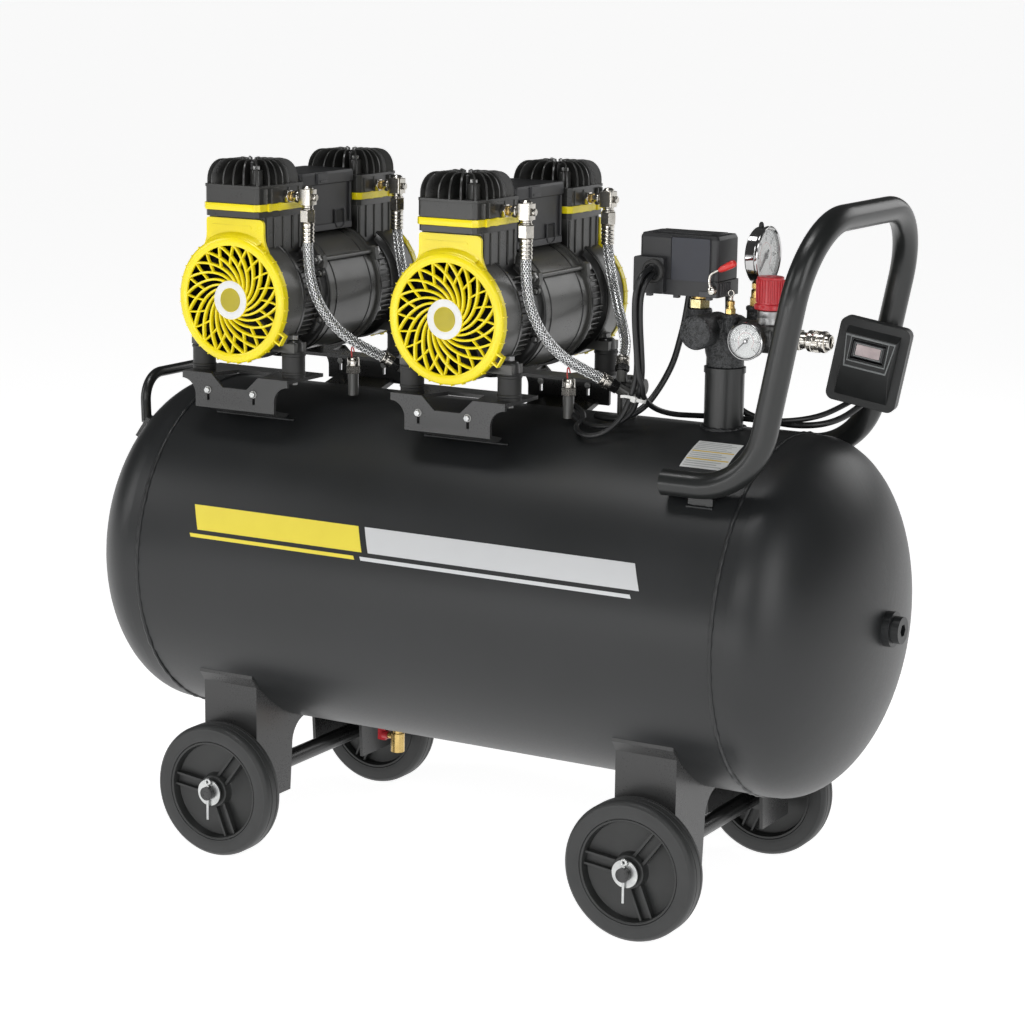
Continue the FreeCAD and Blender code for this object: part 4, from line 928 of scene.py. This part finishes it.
def make_switch():
    """Pressure switch: base, lid with an inset panel, cord grommet and the cut-out lever."""
    b = Build()
    place = moved(236, -12)
    b.prism(rounded(47, 26, 2.5), 667, 683.4, 0, place)
    # painted shade: a near-black band in the seam between the switch base and its lid
    b.prism(rounded(45.4, 24.6, 2.5), 683, 684.6, 2, place)
    b.prism(rounded(46, 25, 4), 684.2, 727, 0, place)
    b.prism(rounded(46, 25, 4), 727, 731, 0, place, 0.955)
    b.prism([(-36, -17), (34, -17), (38, -10), (38, 16), (-36, 16)], 730.6, 732.4, 0, place, 0.98)
    for k in range(6):
        b.box((283 - 0.4, -33 + 4.6 * k, 668.5), (284.4, -31.4 + 4.6 * k, 682), 0)
    for x in (200, 232, 270):
        b.box((x - 3, -34, 663.5), (x + 3, -28, 667.2), 0)
    b.box((262, -39.2, 667.5), (282, -37.6, 673), 0)
    panel = outward(250.4, -37, 705.6)
    b.prism(rounded(22.4, 22.6, 2.0), -0.2, 1.1, 1, panel)
    b.sweep([(x, y, 0.4) for x, y in rounded(23.2, 23.4, 2.4)], keystone(0.5, -0.6, 0.3, 0.5), 0,
            panel, loop=True, up=Z)
    b.prism(rounded(17.6, 19.2, 2.5), 15.5, 45.4, 0, outward(204.8, 0, 687.1))
    b.done("pressure_switch", "chassis", "black_plastic", [black_plastic, blue_black, painted_shade_black],
           replaces=["switch_base", "switch_cover"], bevel=0.9, segments=3)
    ring = Build()
    face = outward(211, -45, 691.5)
    ring.lathe([(8.8, 0), (12.6, 0), (13.0, 1.4), (12.4, 3.4), (11.2, 4.9), (9.4, 5.2), (8.4, 4.4),
                (8.2, 3.0), (8.2, 0.8)], 0, face, 56, closed=True)
    # painted shade: a flat near-black disc fills the grommet's opening
    ring.lathe([(0, 0.3), (8.5, 0.3)], 1, face, 40)
    ring.done("cord_grommet", "chassis", "rubber_black", [rubber, painted_shade_black], angle=50)

    lever = Build()
    wire = spline_points([(278, -43.5, 673), (276.6, -43.5, 680), (275, -43.5, 686), (276.5, -43.5, 692),
                          (283, -43.5, 696), (289, -43.5, 699)], 8)
    lever.sweep([p * 1000 for p in wire], circle(1.55, 12), 0)
    lever.lathe([(0, -0.6), (3.4, -0.6), (4.5, 0), (4.5, 4.6), (3.8, 5.4), (0, 5.6)], 0,
                outward(278, -39.6, 675), 28)
    grip = facing((286.2, -43.5, 697.1), (2, 0, 1), Y)
    lever.lathe([(1.6, 0), (2.2, 0.3), (2.9, 2), (3.5, 6), (4.0, 12), (4.1, 17), (3.6, 19.6), (2.4, 21.2),
                 (0, 21.8)], 1, grip, 28)
    lever.done("cutout_lever", "auto_off_lever", "red_tip", [nickel, red_dip], replaces=["switch_lever"],
               angle=50)


def make_regulator():
    x, y, z = 334, -18, 628
    body = Build()
    along = rightward(302, y, z)
    body.lathe([(0, 0), (15.6, 0), (17, 1.2), (17, 9), (16.2, 10), (16.2, 12), (17, 13), (17, 38), (16, 40),
                (12.6, 42), (11.8, 50), (0, 50)], 0, along, 56)
    body.rod(7.2, -38, -30, 0, outward(322, 0, 626.5, 1), 28)
    up = upright(x, y, z)
    body.lathe([(0, 8), (15, 8), (15.4, 12.5), (13.4, 14), (13.1, 15)], 0, up, 48)
    body.lathe([(13.1, 14), (13.2, 19), (12.6, 20), (12.6, 22), (13.2, 23), (13.0, 28), (12.2, 29),
                (0, 29)], 1, up, 48)
    body.lathe([(0, 28), (4.9, 28), (4.9, 34.5), (0, 35)], 1, up, 20)
    body.done("regulator_housing", "chassis", "cast_black", [cast_black, cast_silver],
              replaces=["regulator_body"], angle=35)

    knob = Build()
    knob.lathe([(5.06, 29.5), (15.6, 29.5), (16.2, 30.2), (16.2, 34), (15.6, 35.2), (14.2, 35.8),
                (14.0, 36), (13.8, 60.5), (13.9, 61.6), (14.3, 62), (14.2, 63.4), (13.2, 64), (5, 64.0),
                (4.4, 63.2), (0, 63.1)], 0, up, 72)
    knob.lathe([(5.06, 29.5), (5.06, 36.5), (0, 36.5)], 0, up, 24)
    for k in range(24):
        turn = up @ spun(15 * k)
        knob.prism([(13.4, -0.95), (14.9, -0.65), (15.2, 0), (14.9, 0.65), (13.4, 0.95)], 37.2, 60.8, 0,
                   turn)
        knob.prism(wedge(15.4, 0.9, 16.6, 0.6), 30.6, 34.4, 0, turn @ spun(7.5))
    knob.done("pressure_knob_cap", "pressure_knob", "red_plastic", [red_plastic],
              replaces=["regulator_knob"], bevel=0.25, segments=2)

    coupler = Build()
    nose = rightward(362, y, z)
    coupler.hexagon(20, 0, 10, 0, nose, 1.2)
    coupler.lathe([(9.2, 9.6), (8.6, 10.6), (8.6, 15.6), (7.9, 16.2), (7.9, 18), (8.58, 18.6), (8.58, 40.2),
                   (8.2, 41.4), (7.4, 43), (6.3, 43), (5.6, 42), (5.4, 40), (5.4, 19), (0, 19)], 0, nose,
                   56)
    # painted shade: the pin at the bottom of the coupler's bore is coloured near-black
    coupler.lathe([(0, 19.4), (3.2, 19.4), (3.2, 23), (2.4, 24), (0, 24)], 1, nose, 20)
    coupler.done("coupler_core", "chassis", "nickel", [nickel, painted_shade_black], replaces=["coupler_body"],
                 angle=32)
    sleeve = Build()
    start = rightward(380, y, z)
    sleeve.lathe([(8.66, 0.4), (10.4, 0), (11.2, 0.6), (11.4, 1.6), (11.4, 4.6), (10.7, 5.2), (10.7, 6.4),
                  (11.0, 7), (11.0, 13.6), (10.7, 14.2), (10.7, 15.2), (11.4, 15.9), (11.4, 18.6),
                  (10.9, 19.7), (9.8, 20), (8.66, 19.6)], 0, start, 72, closed=True)
    for k in range(36):
        sleeve.prism([(10.8, -0.5), (11.5, 0), (10.8, 0.5)], 7.2, 13.4, 0, start @ spun(10 * k))
    sleeve.done("coupler_collar", "release_sleeve", "nickel", [nickel], replaces=["coupler_sleeve"],
                angle=32)


def make_fittings():
    """Brass and plated fittings round the manifold, and the manifold casting itself."""
    b = Build()
    b.hexagon(20, 652, 662.5, 1, upright(250, -12), 1.2)
    b.rod(8.6, 662, 667.5, 0, upright(250, -12), 32)
    b.hexagon(14, 656, 665.5, 0, upright(306, 10), 0.9)
    b.lathe([(0, 665), (6.2, 665), (6.2, 672.5), (5.4, 673.5), (0, 673.5)], 0, upright(306, 10), 28)
    b.hexagon(18, 352, 361.5, 0, rightward(0, -18, 628), 1.0)
    tip = upright(357, -18, 634)
    b.lathe([(0, 0), (4.4, 0), (4.4, 10), (5.2, 10.6), (5.2, 13.4), (4.4, 14.4), (4.0, 16), (0, 16)], 0,
            tip, 24)
    b.done("pipe_fittings", "chassis", "brass", [brass, gold_zinc], replaces=["brass_fittings"], bevel=0.2,
           segments=1)

    cast = Build()
    pipe = upright(276, 0)
    cast.lathe([(0, 590), (19, 590), (20.2, 591), (20.2, 600), (21.4, 604), (22, 608), (22, 638),
                (20.4, 642.6), (17, 644.6), (0, 645.2)], 0, pipe, 56)
    boss = outward(262, 12, 630)
    cast.lathe([(0, 0), (14.6, 0), (16.8, 2), (17, 6), (17, 40), (17.2, 46), (18.3, 47.6), (18.4, 57),
                (17.4, 59.4), (14.8, 60.4), (0, 60.6)], 0, boss, 48)
    port = upright(250, -12)
    cast.lathe([(0, 620), (13, 622), (12.6, 628), (12.4, 640), (13.4, 643), (13.6, 650), (12.8, 652),
                (0, 652)], 0, port, 40)
    cast.prism(rounded(19.5, 15.2, 6), 621.5, 642.5, 0, moved(257, -7))
    arm = rightward(274, -6, 628)
    cast.lathe([(0, 0), (15, 0), (15, 20), (16.6, 22), (16.6, 27.6), (15, 28), (0, 28)], 0, arm, 44)
    for (x, y, r, low, high) in ((306, 10, 10.2, 620, 656), (292, -24, 7.6, 630, VALVE_Z)):
        cast.lathe([(0, low), (r, low), (r, high - 5), (r + 1, high - 4), (r + 1, high - 0.8), (r, high),
                    (0, high)], 0, upright(x, y), 36)
    cast.prism(rounded(14, 11, 5), 619, 641, 0, moved(293, 10))
    cast.done("manifold_casting", "chassis", "cast_black", [rough_cast], replaces=["manifold"], bevel=1.0,
              segments=3, angle=40)

    valve = Build()
    at = upright(292, -24, VALVE_Z)
    valve.hexagon(10, 0, 6, 0, at, 0.7)
    valve.lathe([(0, 5.5), (4.2, 5.5), (4.2, 8), (3.7, 8.5), (3.7, 9.5), (4.2, 10), (4.2, 13.2), (3.6, 14),
                 (0, 14)], 0, at, 28)
    valve.lathe([(0, 13.6), (1.2, 13.6), (1.2, 17.4), (0, 17.5)], 0, at, 16)
    valve.done("relief_valve", "chassis", "brass", [brass], replaces=["safety_valve"], angle=35)
    pull = Build()
    pull.lathe([(1.26, 14.4), (2.2, 14.4), (2.4, 14.8), (2.4, 18.6), (2.0, 19.3), (1.26, 19.4)], 0, at, 24,
               closed=True)
    loop = [(3.2 * cos(a), 0, 21.9 + 3.2 * sin(a)) for a in (2 * pi * k / 40 for k in range(40))]
    pull.sweep(loop, circle(0.8, 10), 0, at, loop=True)
    pull.done("relief_ring", "relief_pull", "brass", [nickel], replaces=["safety_valve_ring"], angle=50)


def make_control_box():
    """Switch box on the handle: rounded plate, wedge cover, nested frames and the rocker."""
    place = moved(388, 142, 588.4) @ spun(10) @ Matrix.Rotation(radians(10.5), 4, "Y")
    front = place @ outward(0, 0, 0)
    b = Build()
    b.prism(rounded(38.9, 46.4, 9, 8), 15.5, 24.0, 0, front)
    # painted shade: a near-black band in the seam between the two layers of the plate
    b.prism(rounded(38.2, 45.7, 8.4, 8), 23.8, 25.0, 2, front)
    b.prism(rounded(38.9, 46.4, 9, 8), 24.8, 33.0, 0, front)
    hood = [(-29.5, -39.5, 32.5), (29.5, -39.5, 32.5), (29.5, 37.6, 32.5), (-29.5, 37.6, 32.5),
            (-26.5, -6.4, 46.6), (26.5, -6.4, 46.6), (28.6, 31.6, 46.6), (-28.6, 31.6, 46.6)]
    corners = keystone(18.3, 5.1, 18.3, 26.9)
    hood += [(x, y, z) for z in (46.6, 39.2) for x, y in corners]
    walls = [(a + k, a + (k + 1) % 4, a + 4 + (k + 1) % 4, a + 4 + k) for a in (0, 4, 8) for k in range(4)]
    b.add(hood, [(3, 2, 1, 0), *walls, (12, 13, 14, 15)], 0, front)
    b.box((-12, -30, 4), (28, 30, 15.8), 0, front)
    frame_path = keystone(27.0, 29.6, 23.0, -3.6)
    b.sweep([(x, y, 46.6) for x, y in frame_path], keystone(1.5, -0.6, 0.8, 1.3), 1, front, loop=True, up=Z)
    for half_w, half_h, mat, lift, wide in ((20.8, 13.2, 1, 1.6, 1.2), (18.4, 10.9, 0, 2.2, 0.8)):
        b.sweep([(x, y + 16, 46.6) for x, y in oblong(half_w, half_h)],
                keystone(wide, -0.6, wide * 0.7, lift), mat, front, loop=True, up=Z)
    for x in (-20, 20):
        b.lathe([(0, 15.2), (3.2, 15.2), (3.2, 14.6), (0, 14.2)], 3, front @ moved(x + 4, -36), 20)
    b.done("handle_switch_box", "chassis", "black_plastic", [box_plastic, grey_plastic, painted_shade_black, steel],
           replaces=["control_box"], bevel=0.7, segments=3)

    rocker = Build()
    profile = [(-6, 0), (-2.5, -9.6), (1.0, -8), (0.1, 0), (1.0, 8), (-2.5, 9.6)]
    side = place @ moved(0, -47, 16)
    verts = [(x, -d, z) for x in (-17.4, 17.4) for d, z in profile]
    faces = [tuple(range(6)), tuple(reversed(range(6, 12)))]
    faces += [(i, i + 6, (i + 1) % 6 + 6, (i + 1) % 6) for i in range(6)]
    rocker.add(verts, faces, 0, side)
    lens = side @ outward(0, -0.6, 0)
    rocker.sweep([(x, y, 0.4) for x, y in oblong(14.6, 6.9)],
                 keystone(0.8, -0.9, 0.6, 0.7), 1, lens, loop=True, up=Z)
    rocker.prism(rounded(13.4, 5.9, 0.8), -0.5, 0.55, 2, lens)
    rocker.done("rocker_face", "rocker", "rocker", [black_plastic, grey_plastic, rocker_window],
                replaces=["rocker_switch"], bevel=0.3)


def make_tie():
    """White cable tie round the three thin leads."""
    b = Build()
    centre, at = (199.2, -54.2, 555.5), facing((199.2, -54.2, 555.5), (0.25, 0.05, 1), Y)
    loop = [(10.4 * cos(a), 7.0 * sin(a), 0) for a in (2 * pi * k / 48 for k in range(48))]
    b.sweep(loop, oblong(0.55, 1.9), 0, at, loop=True, up=Z)
    b.box((-2.4, -10.4, -3.0), (3.2, -6.4, 3.0), 0, at)
    tail = [(0.5, -8.6, 1.0), (-4, -11, 1.4), (-9, -12.5, 0.6), (-13.5, -12.2, -1.2)]
    b.sweep(tail, oblong(0.5, 1.6), 0, at, up=Z)
    b.done("cable_tie", "chassis", "cable_black", [white_plastic], bevel=0.3)


make_gauges()
make_switch()
make_regulator()
make_fittings()
make_control_box()
make_tie()


# ---------------------------------------------------------------- tank details
TANK_R, TANK_Z, SHELL_HALF = 195.0, 329.2, 360.0
SEAM_R, COLLAR_X, COLLAR_R, BUNG_X, BUNG_R = 194.6, 276, 22.2, 457.2, 19.6
# where the handle's pads and the pump brackets are welded on, in degrees from the top
PAD_WELD, BRACKET_WELD = 45.9, 29.75


def tank_point(x, degrees, lift=0.0):
    """A point on the shell; degrees go from the top towards the front."""
    a = radians(degrees)
    return (x, -(TANK_R + lift) * sin(a), TANK_Z + (TANK_R + lift) * cos(a))


def add_patch(b, x0, x1, a0, a1, lift, mat, slant=0.0):
    """A thin printed patch that lies on the shell."""
    rows = max(2, int(abs(a1 - a0) / 1.2) + 1)
    verts = []
    for k in range(rows + 1):
        t = k / rows
        shift = slant * (1 - t)
        for x, up in ((x0 + shift, 0), (x0 + shift, lift), (x1 + shift, lift), (x1 + shift, 0)):
            verts.append(tank_point(x, a0 + (a1 - a0) * t, up))
    faces = [(0, 1, 2, 3), tuple(reversed(range(4 * rows, 4 * rows + 4)))]
    for k in range(rows):
        for q in range(4):
            i, j = 4 * k + q, 4 * k + (q + 1) % 4
            faces.append((i, i + 4, j + 4, j))
    b.add(verts, faces, mat)


def bead(b, path, r, ripple, loop=True):
    """A weld bead whose size ripples along its run."""
    n = len(path)

    def section(t):
        swell = 1 + 0.13 * sin(t * n * 1.05) + ripple * noise.noise(Vector((t * n * 0.21, r, 3.1)))
        return circle(r * swell, 8)

    b.sweep(path, section, loop=loop)


def make_welds():
    welds = Build()
    for x in (-SHELL_HALF, SHELL_HALF):
        seam = []
        for k in range(420):
            a = 2 * pi * k / 420
            seam.append((x, SEAM_R * sin(a), TANK_Z + SEAM_R * cos(a)))
        bead(welds, seam, 2.4, 0.3)
    foot = []
    for k in range(90):
        a = 2 * pi * k / 90
        y = COLLAR_R * sin(a)
        foot.append((COLLAR_X + COLLAR_R * cos(a), y, TANK_Z + sqrt(TANK_R ** 2 - y * y) + 0.6))
    bead(welds, foot, 2.6, 0.3)
    for end in (-1, 1):
        bung = [(end * BUNG_X, BUNG_R * cos(a), TANK_Z + BUNG_R * sin(a))
                for a in (2 * pi * k / 80 for k in range(80))]
        bead(welds, bung, 2.2, 0.3)
        run = [tank_point(303 + 30 * k / 20, -end * PAD_WELD, 0.4) for k in range(21)]
        bead(welds, run, 1.7, 0.4, loop=False)
        for x0 in PUMPS.values():
            run = [tank_point(x0 - 53 + 106 * k / 60, -end * BRACKET_WELD, 0.4) for k in range(61)]
            bead(welds, run, 1.5, 0.3, loop=False)
    welds.done("weld_beads", "chassis", "tank_paint", [tank_paint], angle=60)


def make_marks():
    """The plain two-tone stripe and the care label."""
    marks = Build()
    add_patch(marks, -290, -72, 74.6, 66.4, 0.12, 0, 10)
    add_patch(marks, -64, 265, 74.6, 66.4, 0.12, 1, 10)
    add_patch(marks, -290, -72, 77.2, 76.0, 0.12, 0, 2)
    add_patch(marks, -64, 265, 77.2, 76.0, 0.12, 1, 2)
    marks.done("side_stripe", "chassis", "tank_paint", [yellow_film, silver_paint], angle=40)

    label = Build()
    add_patch(label, 273.5, 325, 30.5, 15.5, 0.15, 0)
    for k in range(13):
        a = 29.6 - 1.08 * k
        if k in (3, 7):
            add_patch(label, 275, 323.5, a, a - 0.55, 0.2, 2)
        else:
            add_patch(label, 276, 320 - (k * 7) % 11, a, a - 0.34, 0.2, 1)
    label.done("care_label", "chassis", "tank_paint", [label_paper, label_grey, label_gold], angle=40)


def make_screws():
    """Bracket screws, and the nuts and rings of the rubber feet."""
    screws = Build()
    for x0 in PUMPS.values():
        for sign in (-1, 1):
            for x in (x0 - 36, x0 + 26):
                head = outward(x, sign * 138, 531, sign)
                screws.lathe([(0, -6), (3.9, -6), (3.9, 0.2), (4.3, 0.2), (4.5, 0.7), (4.1, 1.1), (0, 1.1)],
                             0, head, 28)
                screws.hexagon(6.2, 1.0, 4.0, 1, head, 0.6)
            for side in (-1, 1):
                stud = upright(x0 + side * 61, sign * 110)
                screws.hexagon(9, 541.5, 548, 0, stud, 0.6)
                screws.lathe([(13.0, 553), (13.9, 554), (13.9, 556), (13.0, 557)], 2, stud, 40, closed=True)
                screws.lathe([(13.0, 574), (13.9, 575), (13.9, 577), (13.0, 578)], 2, stud, 40, closed=True)
    screws.done("bracket_screws", "chassis", "zinc", [steel, zinc, rubber], bevel=0.15, segments=1)


def make_bleed_valves():
    bleed = Build()
    for x0 in PUMPS.values():
        at = upright(x0 + 95, -40)
        bleed.rod(6, 524, 549, 1, at, 24)
        bleed.hexagon(15, 549, 558, 0, at, 1.0)
        bleed.lathe([(0, 557), (6.4, 557), (6.9, 558.4), (6.9, 566), (6.0, 567.6), (0, 568)], 0, at, 28)
        wire = spline_points([(x0 + 94, -41, 566), (x0 + 93, -42, 576), (x0 + 97, -44, 582),
                              (x0 + 98, -43, 574)], 8)
        bleed.sweep([p * 1000 for p in wire], circle(0.8, 8), 2)
    bleed.done("bleed_valves", "chassis", "nickel", [nickel, cast_black, red_dip], bevel=0.2, segments=1)


make_welds()
make_marks()
make_screws()
make_bleed_valves()


# ---------------------------------------------------------------- CAD nodes that keep their shape
def finish_nodes():
    looks = {
        tank_paint: ["tank_shell", "tank_heads", "end_plugs"],
        dark_paint: ["legs", "axles", "pump_brackets"],
        handle_paint: ["main_handle", "rear_handle", "standpipe"],
        cast_black: ["crankcases", "motor_housings", "air_collectors"],
        steel: ["shaft_left", "shaft_right"],
        zinc: ["axle_retainers"],
        cast_silver: ["pistons"],
        brass: ["drain_valve"],
        black_plastic: ["fans_left", "fans_right"],
        red_plastic: ["drain_lever"],
        rubber: ["rubber_feet"],
    }
    for material, names in looks.items():
        for name in names:
            painted(name, material)


finish_nodes()


# ---------------------------------------------------------------- floor and light
def make_stage():
    s = Shader("floor")
    s.feed("Base Color", s.blend(s.noise(s.coords(), 1.3, 2.0), (0.62, 0.62, 0.62), (0.66, 0.66, 0.66)))
    s.set(Roughness=0.85, Specular_IOR_Level=0.1, Emission_Color=(1, 1, 1, 1), Emission_Strength=0.90)
    mesh = bpy.data.meshes.new("floor")
    mesh.from_pydata([(*p, 0) for p in oblong(400, 400)], [], [(0, 1, 2, 3)])
    mesh.materials.append(s.material)
    floor = bpy.data.objects.new("floor", mesh)
    scene.collection.objects.link(floor)


def softbox(name, place, target, width, height, power):
    data = bpy.data.lights.new(name, "AREA")
    data.shape, data.size, data.size_y, data.energy = "RECTANGLE", width, height, power
    lamp = bpy.data.objects.new(name, data)
    lamp.location = place
    lamp.rotation_euler = (Vector(target) - Vector(place)).to_track_quat("-Z", "Y").to_euler()
    scene.collection.objects.link(lamp)


def make_lights():
    world = bpy.data.worlds.new("studio")
    scene.world = world
    world.use_nodes = True
    nodes, links = world.node_tree.nodes, world.node_tree.links
    where = nodes.new("ShaderNodeTexCoord")
    split = nodes.new("ShaderNodeSeparateXYZ")
    links.new(where.outputs["Generated"], split.inputs[0])
    tint = nodes.new("ShaderNodeValToRGB")
    tint.color_ramp.elements[0].position = 0.0
    tint.color_ramp.elements[0].color = (1.0, 1.0, 1.0, 1)
    tint.color_ramp.elements[1].position = 0.10
    tint.color_ramp.elements[1].color = (0.07, 0.07, 0.07, 1)
    links.new(split.outputs["Z"], tint.inputs["Fac"])
    links.new(tint.outputs["Color"], nodes["Background"].inputs["Color"])
    nodes["Background"].inputs["Strength"].default_value = 0.95
    softbox("key", (2.7, -1.5, 1.5), (0.2, 0, 0.4), 1.2, 2.0, 24)
    softbox("fill", (-2.6, -1.8, 1.6), (-0.1, 0, 0.45), 1.0, 1.6, 16)
    softbox("top", (-0.2, -0.6, 2.6), (0, 0, 0.4), 1.2, 0.5, 14)
    softbox("front", (0.6, -3.4, 2.0), (0, 0, 0.6), 2.4, 1.0, 24)
    softbox("strip", (-0.2, -3.1, 0.30), (0, 0, 0.33), 3.4, 0.25, 13)
    softbox("back", (1.2, 2.6, 1.6), (0, 0, 0.5), 1.6, 1.2, 12)


make_stage()
make_lights()
scene.view_settings.view_transform = "Standard"
scene.view_settings.look = "None"
scene.view_settings.exposure = 0.0
